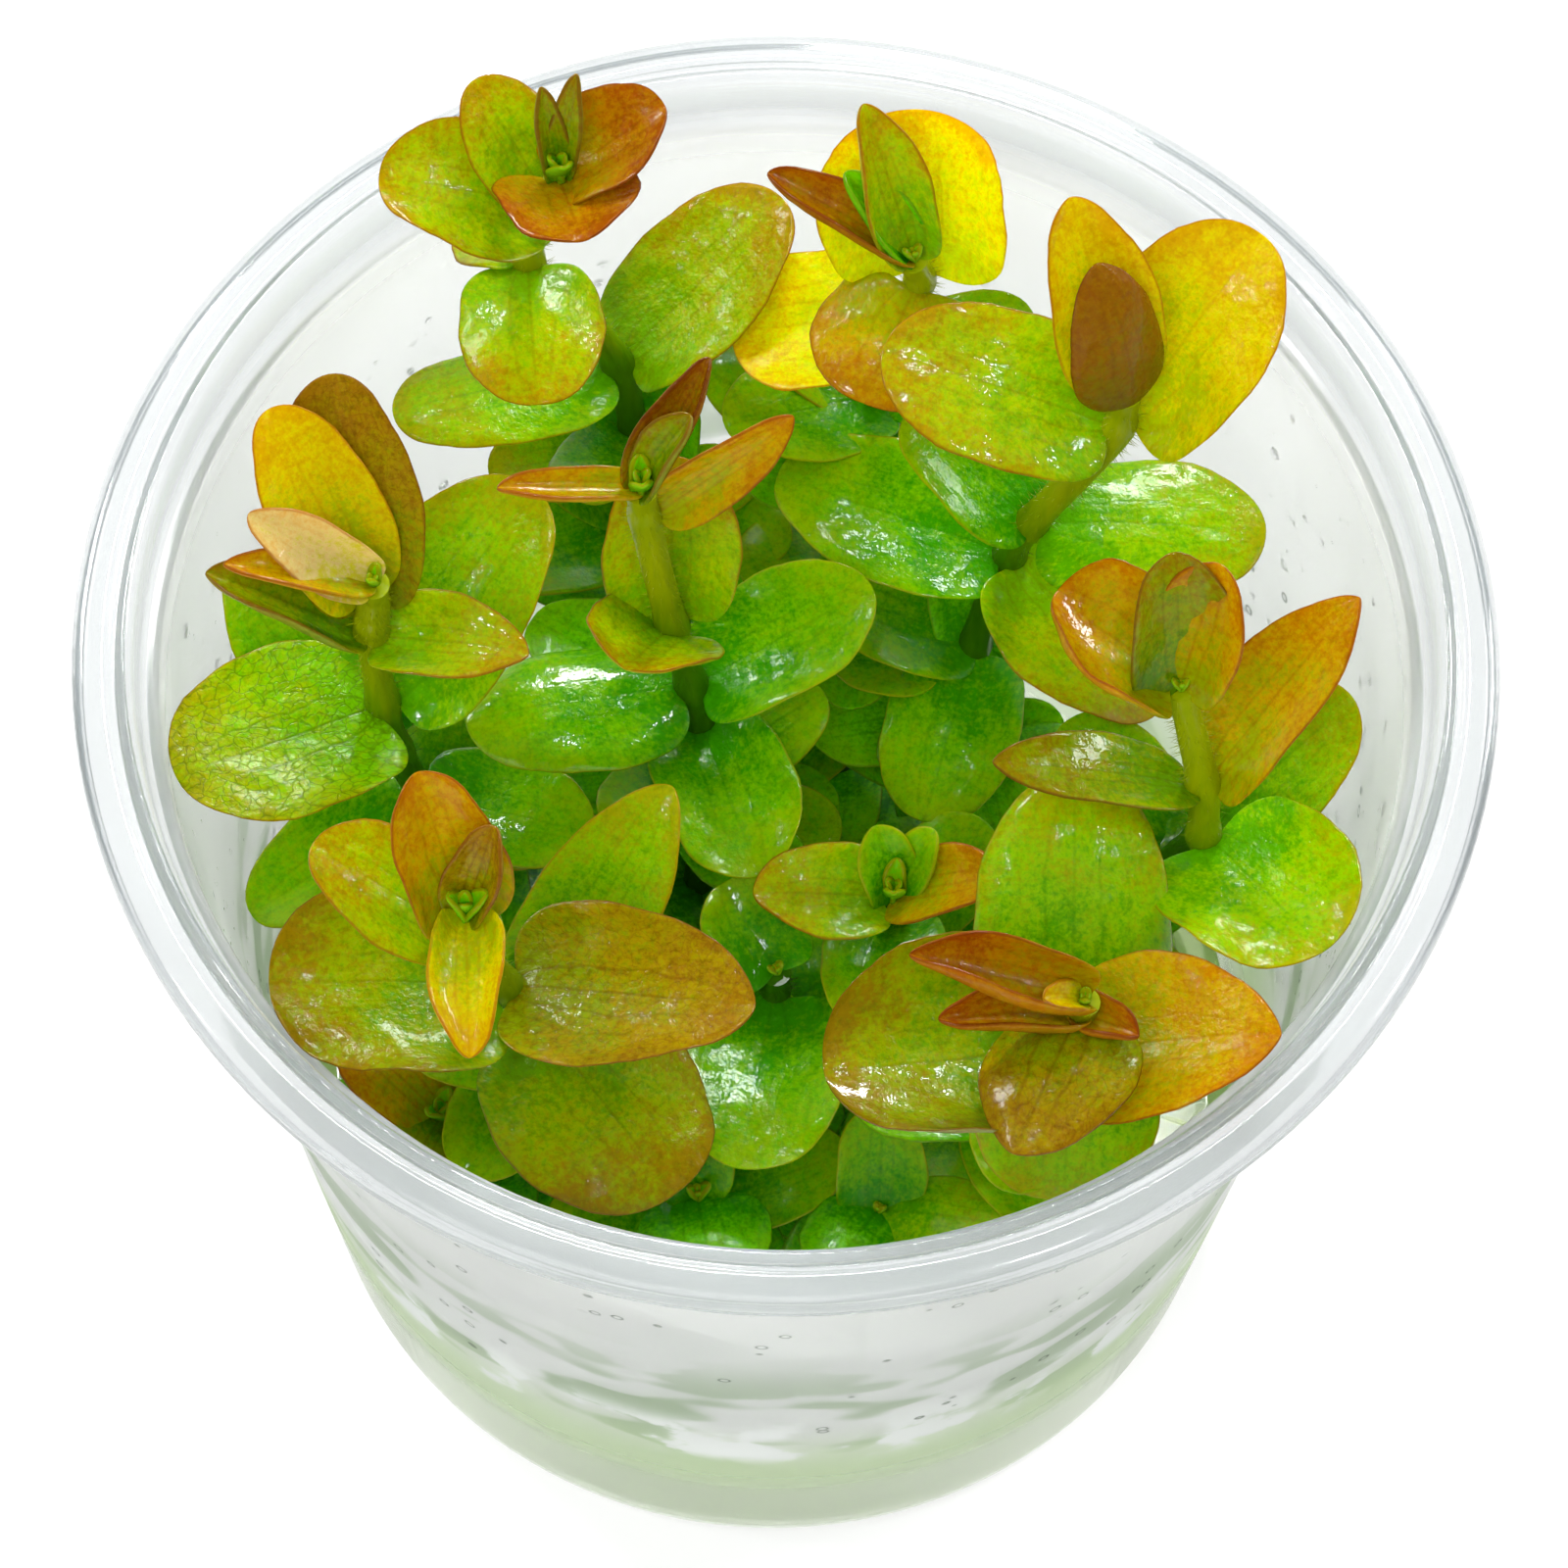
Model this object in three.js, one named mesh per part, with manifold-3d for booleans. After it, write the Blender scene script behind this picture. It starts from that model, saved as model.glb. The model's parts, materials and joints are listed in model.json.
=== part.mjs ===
// Water hyssop shoots with broad fleshy leaves, standing in agar in a round see-through culture cup.
// Millimetres, +Z up. The origin is the centre of the cup's underside.
import * as THREE from "three";
import { mergeVertices } from "three/addons/utils/BufferGeometryUtils.js";
import Module from "manifold-3d";

const wasm = await Module();
wasm.setup();

// Cup
const RIM_RADIUS = 50;
const RIM_HEIGHT = 85;
const WALL = 0.7;
const BASE_RADIUS = 36.5;
const BASE_FILLET = 2.5;
const NECK_RADIUS = 44.8;
const NECK_HEIGHT = 81.4;
const LIP_RADIUS = 45.3;
const FOOT_RING_RADIUS = 30;
const FOOT_RING_RISE = 0.8;
const GROOVE_RADIUS = 47;
const GROOVE_DEPTH = 0.5;
const SKIRT_DROP = 1.6;
const CUP_SIDES = 36;

// Agar
const GAP = 0.3;
const AGAR_TOP = 14;
const AGAR_MENISCUS = 0.5;

// Stems and leaves
const STEM_RADIUS = 1.1;
const STEM_SIDES = 6;
const BUD_RADIUS = 1;
const FOOT = AGAR_TOP + GAP + AGAR_MENISCUS;
const LEAF_THICKNESS = 0.8;
const WIDEST_EXPONENT = 0.86;
const FULLNESS = 0.92;
const LOBE = 0.13;
const LEAF_DETAIL = { across: 8, along: 5 };
const YOUNG_DETAIL = { across: 6, along: 3 };

// Leaf colours, from the low shaded leaves to the tips in full light
const TONES = {
  green: "#3f9a08",
  lime: "#7fae06",
  olive: "#8a8a14",
  gold: "#c9a80c",
  copper: "#a85a12",
};

// A leaf grows from a node of its stem. Azimuth 0 points along +X, 90 along +Y, and rise is above level.
// Roll turns the blade about its midrib, fold lifts its two halves, curl bends the midrib up along its
// length and twist turns the tip against the base. Angles are in degrees. Point is how sharp the tip is.
function leaf(name, node, azimuth, rise, length, width, tone, shape = {}) {
  const { roll = 0, fold = 10, curl = -10, twist = 0, point = 0 } = shape;
  return { name, node, azimuth, rise, length, width, tone, roll, fold, curl, twist, point };
}

// Each shoot is a stem through its points, from the foot to the tip, with the leaves that stand free
// and the small ones that are still part of the stem: the tip's youngest and the low, old ones.
const SHOOTS = [
  {
    foot: [-8, 16],
    stem: [
      [-9, 19, 38], [-11.5, 25, 58], [-13, 27.4, 75],
      [-19.3, 26.8, 91], [-17.6, 26.5, 99], [-16.8, 26.3, 102.5],
    ],
    leaves: [
      leaf("left", 5, -168, 24, 12, 10.4, "lime", { fold: 12, curl: -30, roll: -20 }),
      leaf("front", 4, -84, 3, 11.5, 10.5, "lime", { fold: -8, curl: -20 }),
      leaf("right", 3, 38, 31, 16.5, 12, "lime", { roll: -8, fold: 8 }),
      leaf("low_left", 3, -165, -2, 16, 10.5, "green", { roll: 12, fold: -6 }),
    ],
    young: [
      leaf("inner_right", 6, 22, 34, 9.5, 8.5, "copper", { fold: 20 }),
      leaf("inner_back", 5, 136, 44, 10.5, 7.5, "gold"),
      leaf("inner_front", 6, -74, 26, 8, 10.5, "copper", { fold: 15 }),
      leaf("inner_tip", 6, 72, 65, 9, 3, "olive", { fold: 30, point: 0.4 }),
      leaf("inner_side", 6, 113, 66, 8, 3, "olive", { fold: 35, point: 0.4 }),
      leaf("low_back", 4, 130, -35, 8, 7, "lime"),
      leaf("old_back", 2, 80, 30, 10, 8, "green"),
    ],
  },
  {
    foot: [4, 14],
    stem: [[4.5, 17, 38], [5.8, 25, 62], [7, 28, 81], [8.6, 26.6, 90], [8, 26.2, 93.5]],
    leaves: [
      leaf("back", 4, 96, 42, 11.5, 14.5, "gold", { roll: -15 }),
      leaf("front", 4, -112, -6, 9.5, 12, "gold", { fold: -10 }),
      leaf("left", 3, 178, -12, 11, 12, "gold"),
    ],
    young: [
      leaf("inner_back", 5, 118, 46, 12, 6.5, "lime", { fold: 35, point: 0.3 }),
      leaf("inner_left", 5, 158, 20, 12, 6, "copper", { fold: 45, point: 0.3 }),
      leaf("inner_tip", 5, 140, 35, 8, 5.5, "green", { fold: 45, point: 0.3 }),
      leaf("old_left", 2, 190, 25, 11, 8, "green"),
    ],
  },
  {
    foot: [12, 9],
    stem: [
      [12.5, 12, 38], [14.1, 15.1, 56], [16, 14.8, 71],
      [17.2, 13.2, 79], [22.6, 13, 94], [22.8, 13.3, 98],
    ],
    leaves: [
      leaf("right", 5, 47, 36, 16, 13.5, "gold"),
      leaf("left", 5, 170, 13, 16.5, 11.5, "lime", { roll: -15 }),
      leaf("upright", 6, 117, 51, 14.5, 8.5, "gold", { fold: 15, point: 0.25 }),
      leaf("brown_front", 6, -57, 119, 12.4, 8, "copper", { fold: 22, curl: 45, point: 0.35 }),
      leaf("low_right", 4, 0, 0, 16, 12, "lime", { fold: -8 }),
      leaf("mid_left", 3, 166, 9, 17, 12, "green", { fold: 12 }),
      leaf("mid_right", 3, -40, -18, 15, 13, "lime"),
      leaf("deep_front", 2, -104, -10, 13.5, 10.5, "green", { fold: -10 }),
    ],
    young: [
      leaf("inner_right", 6, 88, 66, 5.5, 3, "olive", { fold: 8 }),
      leaf("low_left", 4, 150, 25, 12, 8, "green"),
      leaf("deep_back", 2, 100, 45, 9.5, 7, "green"),
      leaf("old_right", 1, 20, 30, 11, 8, "green"),
    ],
  },
  {
    foot: [-6, 1],
    stem: [
      [-6, 2, 40], [-6.3, 4.1, 64], [-6.8, 4.1, 69.5],
      [-8.2, 4.1, 79], [-10.1, 4.8, 94], [-10.3, 4.8, 97.5],
    ],
    leaves: [
      leaf("top_right", 5, 18, 33, 12.3, 5.3, "gold", { roll: 60, fold: 20, point: 0.35 }),
      leaf("back", 4, 92, 55, 12.5, 10, "lime"),
      leaf("front", 4, -114, 43, 8.8, 10.2, "lime", { fold: 16 }),
      leaf("left", 3, -164, 6, 16, 11, "green", { fold: -12, curl: -25 }),
      leaf("right", 3, 20, 27, 14.5, 10.5, "lime"),
      leaf("low_front", 2, -70, 8, 13.5, 10.5, "green"),
    ],
    young: [
      leaf("inner_left", 6, -174, 9, 10, 3.6, "gold", { fold: 40, point: 0.25 }),
      leaf("inner_back", 6, 54, 46, 11, 5.5, "copper", { fold: 50, point: 0.35 }),
      leaf("inner_tip", 6, 33, 60, 8, 4.5, "olive", { fold: 40 }),
      leaf("old_left", 1, 170, 30, 11, 8, "green"),
      leaf("old_right", 1, -10, 30, 11, 8, "green"),
    ],
  },
  {
    foot: [19, -4],
    stem: [
      [20, -5, 38], [27, -6.5, 62], [30, -7, 70],
      [29.6, -11, 79], [29.2, -9.8, 84], [26.8, -8.2, 96],
    ],
    leaves: [
      leaf("cup_left", 6, 152, 24, 10, 12.5, "gold", { fold: 30 }),
      leaf("long_right", 5, 45, 41, 17, 9, "gold", { roll: -15, fold: 15, point: 0.45 }),
      leaf("twisted", 5, -176, 24, 15.5, 6.5, "olive", { roll: 30, twist: -45, point: 0.45 }),
      leaf("low_right", 4, -52, 18, 13, 14, "lime", { fold: 5 }),
      leaf("low_back", 3, 33, 42, 15, 11, "lime"),
    ],
    young: [
      leaf("inner_back", 6, 102, 60, 11, 8.5, "olive", { fold: 25 }),
      leaf("inner_right", 6, 68, 60, 10.5, 8, "gold", { fold: 25 }),
      leaf("old_right", 1, 0, 30, 11, 8, "green"),
    ],
  },
  {
    foot: [-20, 1],
    stem: [
      [-21, 1, 40], [-26, -1.5, 61], [-27.8, -2, 70], [-28.4, -2.4, 78],
      [-28.8, -2, 88], [-28.7, -2, 90.2], [-28.5, -1.9, 92.2], [-28.3, -2.2, 95.8],
    ],
    leaves: [
      leaf("gold_up", 7, 130, 48, 15.5, 8.5, "gold"),
      leaf("copper_up", 6, 104, 45, 17, 9.5, "gold"),
      leaf("pale_right", 5, -14, 16, 11, 7.5, "olive", { fold: 20, point: 0.35 }),
      leaf("fold_left", 5, 174, 30, 12, 7.5, "olive", { fold: 40, point: 0.4 }),
      leaf("veined", 4, -150, 11, 15.3, 14, "lime", { fold: 5 }),
      leaf("glossy_right", 4, 52, 29, 18, 13, "lime", { fold: 8 }),
      leaf("low_left", 3, 142, 37, 17.5, 11, "green"),
    ],
    young: [
      leaf("deep_right", 2, -16, 8, 13, 9.5, "green"),
      leaf("inner_pale", 8, 165, 26, 10, 5, "olive", { roll: -30, fold: 20, point: 0.25 }),
      leaf("inner_low", 8, -178, 16, 10.5, 4, "gold", { fold: 30, point: 0.4 }),
      leaf("old_left", 2, -142, -5, 15.5, 9, "green"),
      leaf("old_back", 1, 100, 30, 11, 8, "green"),
    ],
  },
  {
    foot: [-12, -12],
    stem: [
      [-14, -16, 40], [-17, -22, 68], [-18.7, -24.3, 79],
      [-20.7, -24.7, 87.5], [-20.9, -24.7, 89.5], [-21, -24.7, 91.2],
    ],
    leaves: [
      leaf("gold_left", 4, 164, 34, 12.5, 9, "gold", { fold: 15 }),
      leaf("fold_up", 5, 118, 57, 12, 9, "gold", { fold: 30 }),
      leaf("big_left", 3, -174, 10, 15.5, 16, "olive"),
      leaf("big_right", 3, -8, 11, 17, 13, "olive", { point: 0.3 }),
      leaf("back", 2, 55, 36, 19, 10, "lime", { fold: 15, point: 0.3 }),
      leaf("front", 2, -50, -4, 15.5, 15.5, "olive", { fold: -8 }),
    ],
    young: [
      leaf("inner_front", 6, -86, -8, 10, 6.5, "gold", { fold: 35, point: 0.25 }),
      leaf("inner_back", 6, 60, 60, 8, 5, "copper", { fold: 35 }),
      leaf("old_left", 1, 160, 30, 11, 8, "green"),
    ],
  },
  {
    foot: [12, -14],
    stem: [
      [13, -16, 40], [18, -23, 62], [20.6, -26.3, 75],
      [20, -28.9, 82], [20.6, -29, 88], [20.8, -29, 90],
    ],
    leaves: [
      leaf("cup_left", 4, -166, 12, 16.5, 18, "olive", { fold: 20 }),
      leaf("right", 4, -6, 27, 15, 13, "gold", { point: 0.45 }),
      leaf("back", 3, 91, 28, 19.5, 14.5, "lime", { fold: -8, curl: -50 }),
      leaf("front", 3, -90, -38, 9.7, 13, "lime"),
    ],
    young: [
      leaf("inner_left", 6, 175, 20, 12.8, 8, "copper", { fold: 55, point: 0.45 }),
      leaf("inner_low", 5, -170, 12, 10, 6.5, "copper", { fold: 50, point: 0.45 }),
      leaf("inner_front", 5, -113, 2, 11.5, 11, "gold", { fold: -18, roll: 10, point: 0.45 }),
      leaf("inner_right", 5, -28, 14, 4.6, 4.6, "olive", { fold: 45, point: 0.45 }),
      leaf("inner_tip", 6, -160, 40, 4, 3, "gold", { fold: 30 }),
      leaf("old_front", 1, -110, 30, 11, 8, "green"),
    ],
  },
  {
    foot: [4, -4],
    stem: [[5, -5, 38], [8.6, -8.6, 59], [8.3, -10.2, 65]],
    leaves: [
      leaf("left", 3, -175, 12, 9.5, 8, "lime", { fold: 15, point: 0.2 }),
    ],
    young: [
      leaf("inner_right", 3, -4, 35, 9, 6.5, "gold", { fold: 20 }),
      leaf("inner_back", 3, 118, 58, 6.5, 5, "green", { fold: 20 }),
      leaf("inner_side", 3, 50, 50, 6.5, 4, "green", { fold: 20 }),
      leaf("low", 2, -102, 18, 12, 9, "green"),
      leaf("old_right", 1, 60, 30, 11, 8, "green"),
    ],
  },
  {
    foot: [-4, -22],
    stem: [[-4.5, -25, 38], [-5.1, -30, 55], [-5.1, -31.1, 58]],
    leaves: [],
    young: [
      leaf("inner_front", 3, -80, 25, 8.5, 10, "green", { fold: -10 }),
      leaf("inner_back", 3, 100, 40, 7, 6, "green", { fold: 15 }),
      leaf("old_left", 1, 190, 30, 10, 8, "green"),
    ],
  },
  {
    foot: [6, -23],
    stem: [[7, -25, 36], [8, -30, 54]],
    leaves: [],
    young: [
      leaf("inner_left", 2, -120, 22, 8, 8, "green", { fold: -10 }),
      leaf("inner_right", 2, -15, 22, 11, 7, "lime", { fold: -10 }),
      leaf("inner_back", 2, 90, 40, 8, 7, "green", { fold: 15 }),
    ],
  },
  {
    foot: [0, -12],
    stem: [[0, -13.5, 38], [0, -15.5, 60], [0, -15.5, 63]],
    leaves: [
      leaf("front", 2, -98, 12, 15, 13.5, "green"),
    ],
    young: [
      leaf("inner_back", 3, 125, 18, 7.5, 8, "green", { fold: 15 }),
    ],
  },
  {
    foot: [-20, -17],
    stem: [[-21, -19, 36], [-24, -23, 52]],
    leaves: [],
    young: [
      leaf("inner_left", 2, 150, 35, 11, 7, "gold", { fold: 10 }),
      leaf("inner_right", 2, -30, 25, 8, 6, "olive", { fold: 10 }),
      leaf("inner_front", 2, -110, 25, 7, 6, "olive", { fold: 15 }),
    ],
  },
];

// A closed leaf solid, lens-shaped in section: a sphere whose poles become the leaf's base and tip.
function bladeGeometry(blade, origin, detail) {
  const { across, along } = detail;
  const geometry = new THREE.SphereGeometry(1, across, along);
  const place = geometry.getAttribute("position");
  const azimuth = THREE.MathUtils.degToRad(blade.azimuth);
  const rise = THREE.MathUtils.degToRad(blade.rise - blade.curl / 2);
  const roll = THREE.MathUtils.degToRad(blade.roll);
  const forward = new THREE.Vector3(
    Math.cos(rise) * Math.cos(azimuth),
    Math.cos(rise) * Math.sin(azimuth),
    Math.sin(rise),
  );
  const side = new THREE.Vector3(-Math.sin(azimuth), Math.cos(azimuth), 0).applyAxisAngle(forward, roll);
  const up = new THREE.Vector3().crossVectors(forward, side);
  const point = new THREE.Vector3();
  for (let i = 0; i < place.count; i++) {
    point.fromBufferAttribute(place, i);
    const ring = Math.hypot(point.x, point.z);
    const v = ring > 1e-6 ? point.x / ring : 0;
    const face = ring > 1e-6 ? point.z / ring : 0;
    const local = bladePoint(blade, (1 - point.y) / 2, v, face);
    point
      .copy(origin)
      .addScaledVector(forward, local[0])
      .addScaledVector(side, local[1])
      .addScaledVector(up, local[2]);
    place.setXYZ(i, point.x, point.y, point.z);
  }
  return geometry;
}

// A point of the leaf: u runs from base to tip, v from one margin to the other, face is 1 above and -1 below.
function bladePoint(blade, u, v, face) {
  const { length, width } = blade;
  const curl = THREE.MathUtils.degToRad(blade.curl) || 1e-4;
  const fold = THREE.MathUtils.degToRad(blade.fold) || 1e-4;
  const twist = THREE.MathUtils.degToRad(blade.twist) * u;
  const bent = u ** WIDEST_EXPONENT;
  const sharp = 0.5 * (1 + blade.point);
  const widest = 0.5 / (0.5 + sharp);
  const most = Math.sqrt(widest) * (1 - widest) ** sharp;
  const half = (width / 2) * ((Math.sqrt(bent) * Math.max(1 - bent, 0) ** sharp) / most) ** FULLNESS;
  const angle = 2 * fold * Math.abs(v);
  const thick = (LEAF_THICKNESS / 2) * face * Math.sqrt(Math.max(2 * Math.sqrt(Math.max(u * (1 - u), 0)), 0));
  const out = Math.sign(v) * ((half * Math.sin(angle)) / (2 * fold) - thick * Math.sin(angle));
  const lift = (half * (1 - Math.cos(angle))) / (2 * fold) + thick * Math.cos(angle);
  const across = out * Math.cos(twist) - lift * Math.sin(twist);
  const above = out * Math.sin(twist) + lift * Math.cos(twist);
  const turned = curl * u;
  const lobe = LOBE * width * v * v * 4.2 * Math.sqrt(u) * (1 - u) ** 3;
  return [
    (length * Math.sin(turned)) / curl - above * Math.sin(turned) - lobe,
    across,
    (length * (1 - Math.cos(turned))) / curl + above * Math.cos(turned),
  ];
}

// A three.js geometry as a manifold solid, and back.
function solidOf(geometry) {
  const bare = geometry.clone();
  bare.deleteAttribute("normal");
  bare.deleteAttribute("uv");
  const merged = mergeVertices(bare, 1e-4);
  const triVerts = new Uint32Array(merged.index.array);
  const vertProperties = merged.attributes.position.array;
  return new wasm.Manifold(new wasm.Mesh({ numProp: 3, vertProperties, triVerts }));
}

function geometryOf(solid) {
  const { numProp, vertProperties, triVerts } = solid.getMesh();
  const places = new Float32Array((vertProperties.length / numProp) * 3);
  for (let i = 0; i < places.length / 3; i++) {
    places.set(vertProperties.subarray(i * numProp, i * numProp + 3), i * 3);
  }
  const geometry = new THREE.BufferGeometry();
  geometry.setAttribute("position", new THREE.BufferAttribute(places, 3));
  geometry.setIndex(new THREE.BufferAttribute(triVerts, 1));
  geometry.computeVertexNormals();
  return geometry;
}

function plastic(color, roughness, opacity = 1) {
  return new THREE.MeshStandardMaterial({ color, roughness, metalness: 0, opacity, transparent: opacity < 1 });
}

function named(name, geometry, material) {
  const mesh = new THREE.Mesh(geometry, material);
  mesh.name = name;
  return mesh;
}

// The wall leans out from the base fillet to the neck, on its outer face.
function wallRadius(z) {
  const slope = (NECK_RADIUS - BASE_RADIUS) / (NECK_HEIGHT - BASE_FILLET);
  return BASE_RADIUS + slope * (z - BASE_FILLET);
}

function cup() {
  const inside = [
    [0, FOOT_RING_RISE + WALL],
    [FOOT_RING_RADIUS + 1, FOOT_RING_RISE + WALL],
    [BASE_RADIUS - BASE_FILLET, FOOT_RING_RISE + WALL + 0.1],
    [wallRadius(BASE_FILLET + WALL) - WALL, BASE_FILLET + WALL],
    [NECK_RADIUS - WALL, NECK_HEIGHT],
    [LIP_RADIUS, NECK_HEIGHT + 0.6],
    [LIP_RADIUS + 0.3, RIM_HEIGHT],
    [LIP_RADIUS + 0.8, RIM_HEIGHT + 0.8],
    [GROOVE_RADIUS - 0.5, RIM_HEIGHT + 0.7],
    [GROOVE_RADIUS, RIM_HEIGHT + 0.7 - GROOVE_DEPTH],
    [GROOVE_RADIUS + 0.5, RIM_HEIGHT + 0.7],
    [RIM_RADIUS - 0.6, RIM_HEIGHT + 0.4],
    [RIM_RADIUS, RIM_HEIGHT - 0.2],
  ];
  const outside = [
    [RIM_RADIUS - 0.1, RIM_HEIGHT - SKIRT_DROP],
    [RIM_RADIUS - 0.8, RIM_HEIGHT - SKIRT_DROP],
    [RIM_RADIUS - 0.9, RIM_HEIGHT - WALL],
    [LIP_RADIUS + WALL + 0.4, RIM_HEIGHT - WALL],
    [LIP_RADIUS + WALL, NECK_HEIGHT + 0.4],
    [NECK_RADIUS, NECK_HEIGHT - 0.4],
    [wallRadius(BASE_FILLET), BASE_FILLET],
    [BASE_RADIUS - 0.3 * BASE_FILLET, 0.3 * BASE_FILLET],
    [BASE_RADIUS - BASE_FILLET, 0],
    [FOOT_RING_RADIUS + 1, 0],
    [FOOT_RING_RADIUS, FOOT_RING_RISE],
    [0, FOOT_RING_RISE],
  ];
  const profile = [...inside, ...outside].reverse().map(([r, z]) => new THREE.Vector2(r, z));
  const geometry = new THREE.LatheGeometry(profile, CUP_SIDES).rotateX(Math.PI / 2);
  return named("cup", geometry, plastic("#eef2f0", 0.25, 0.3));
}

function agar() {
  const floor = FOOT_RING_RISE + WALL + GAP;
  const clear = WALL + GAP;
  const profile = [
    [0, floor],
    [BASE_RADIUS - BASE_FILLET - GAP, floor + 0.1],
    [wallRadius(BASE_FILLET + 1) - clear - 0.3, BASE_FILLET + 1 + GAP],
    [wallRadius(AGAR_TOP) - clear, AGAR_TOP + AGAR_MENISCUS],
    [wallRadius(AGAR_TOP) - clear - 1.5, AGAR_TOP],
    [0, AGAR_TOP],
  ].map(([r, z]) => new THREE.Vector2(r, z));
  const geometry = new THREE.LatheGeometry(profile, CUP_SIDES).rotateX(Math.PI / 2);
  return named("agar", geometry, plastic("#c5d6bd", 0.3, 0.6));
}

// A smooth curve that is sampled evenly from point to point, so that a tube along it meets every node.
class NodeCurve extends THREE.CatmullRomCurve3 {
  getUtoTmapping(u) {
    return u;
  }
}

function stem(shoot) {
  const [x, y] = shoot.foot;
  const points = [[x, y, FOOT], [x, y, FOOT + 5], ...shoot.stem].map((p) => new THREE.Vector3(...p));
  const path = new NodeCurve(points);
  const section = new THREE.Shape().absarc(0, 0, STEM_RADIUS, 0, 2 * Math.PI);
  const steps = points.length - 1;
  const tube = new THREE.ExtrudeGeometry(section, {
    steps,
    extrudePath: path,
    curveSegments: STEM_SIDES / 2,
    bevelEnabled: false,
  });
  const tip = points[points.length - 1];
  const bud = new THREE.SphereGeometry(BUD_RADIUS, 5, 3).rotateX(Math.PI / 2).scale(1, 1, 1.6);
  bud.translate(tip.x, tip.y, tip.z + 0.4);
  let solid = solidOf(tube).add(solidOf(bud));
  for (const blade of shoot.young) {
    const node = new THREE.Vector3(...shoot.stem[blade.node - 1]);
    solid = solid.add(solidOf(bladeGeometry(blade, node, YOUNG_DETAIL)));
  }
  const bodies = solid.decompose().sort((a, b) => b.volume() - a.volume());
  return geometryOf(bodies[0].simplify(0.02));
}

// A free leaf starts just clear of its stem.
function freeLeaf(shoot, blade) {
  const azimuth = THREE.MathUtils.degToRad(blade.azimuth);
  const reach = STEM_RADIUS + GAP;
  const origin = new THREE.Vector3(...shoot.stem[blade.node - 1]);
  origin.x += reach * Math.cos(azimuth);
  origin.y += reach * Math.sin(azimuth);
  return bladeGeometry(blade, origin, LEAF_DETAIL);
}

const plant = new THREE.Group();
plant.add(cup());
plant.add(agar());
SHOOTS.forEach((shoot, index) => {
  const number = index + 1;
  plant.add(named(`shoot_${number}_stem`, stem(shoot), plastic(TONES.green, 0.4)));
  for (const blade of shoot.leaves) {
    const geometry = freeLeaf(shoot, blade);
    plant.add(named(`shoot_${number}_${blade.name}_leaf`, geometry, plastic(TONES[blade.tone], 0.35)));
  }
});

export default plant;
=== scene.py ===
"""Water hyssop shoots with broad fleshy leaves, in agar in a round see-through culture cup.

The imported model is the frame. Each piece below takes the place of one of its nodes, or grows from one,
at the same place and size. Sizes are in millimetres until a mesh is made, and angles in degrees.
"""

import json
import logging
import math
import random
from dataclasses import dataclass, field
from enum import Enum

import bpy
import numpy as np
from mathutils import Matrix, Vector


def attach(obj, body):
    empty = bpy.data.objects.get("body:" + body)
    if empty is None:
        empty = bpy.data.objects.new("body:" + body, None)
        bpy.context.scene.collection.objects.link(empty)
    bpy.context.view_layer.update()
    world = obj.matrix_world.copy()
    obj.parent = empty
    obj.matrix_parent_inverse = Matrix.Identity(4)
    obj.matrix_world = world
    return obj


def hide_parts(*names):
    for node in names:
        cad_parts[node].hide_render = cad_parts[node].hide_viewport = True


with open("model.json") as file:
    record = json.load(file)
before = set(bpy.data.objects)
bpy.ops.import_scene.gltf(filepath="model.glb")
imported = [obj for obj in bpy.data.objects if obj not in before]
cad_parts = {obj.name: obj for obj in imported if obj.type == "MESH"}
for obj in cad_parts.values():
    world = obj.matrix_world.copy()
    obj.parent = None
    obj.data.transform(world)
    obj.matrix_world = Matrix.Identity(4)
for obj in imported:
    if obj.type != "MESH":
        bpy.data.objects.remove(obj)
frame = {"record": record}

LOG = logging.getLogger("culture_cup")
MM = 0.001
BODY = "root"

# Cup, as in the solid model
RIM_RADIUS = 50.0
RIM_HEIGHT = 85.0
WALL = 0.7
BASE_RADIUS = 36.5
BASE_FILLET = 2.5
FOOT_RING_RISE = 0.8
NECK_RADIUS = 44.8
NECK_HEIGHT = 81.4
AGAR_TOP = 14.0
STEM_FOOT = 14.8

# Leaf outline, as in the solid model
WIDEST_EXPONENT = 0.86
FULLNESS = 0.92
LOBE = 0.13
BLADE_THICKNESS = 0.5
VEIN_STEP = 0.27

# Points along and across a blade, and what keeps the seeds and patterns of blades apart
LEAF_NET = (34, 22)
YOUNG_NET = (22, 14)
SEEDS_PER_SHOOT = 40
FIRST_YOUNG_SEED = 900
PATTERN_STEP = 17.3

# Pieces of curve between two points of a stem
STEM_STEPS = 8

# Nodes that come up often, with their settings
MATH = "ShaderNodeMath"
VECTOR = "ShaderNodeVectorMath"
RANGE = "ShaderNodeMapRange"
MIX = "ShaderNodeMix"
NOISE = "ShaderNodeTexNoise"
TIMES = {"operation": "MULTIPLY"}
PLUS = {"operation": "ADD"}
TIMES_PLUS = {"operation": "MULTIPLY_ADD"}
SOFT = {"interpolation_type": "SMOOTHSTEP", "clamp": True}
COLOURS = {"data_type": "RGBA"}
FLAT = {"noise_dimensions": "2D"}


def linear(colour: str) -> tuple[float, float, float, float]:
    """Turns an sRGB hex colour into linear light.

    Args:
        colour: A colour such as "#4cb010".

    Returns:
        Red, green, blue and alpha from 0 to 1.
    """
    parts = [int(colour[i : i + 2], 16) / 255 for i in (1, 3, 5)]
    lit = [c / 12.92 if c <= 0.04045 else ((c + 0.055) / 1.055) ** 2.4 for c in parts]
    return (lit[0], lit[1], lit[2], 1.0)


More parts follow.
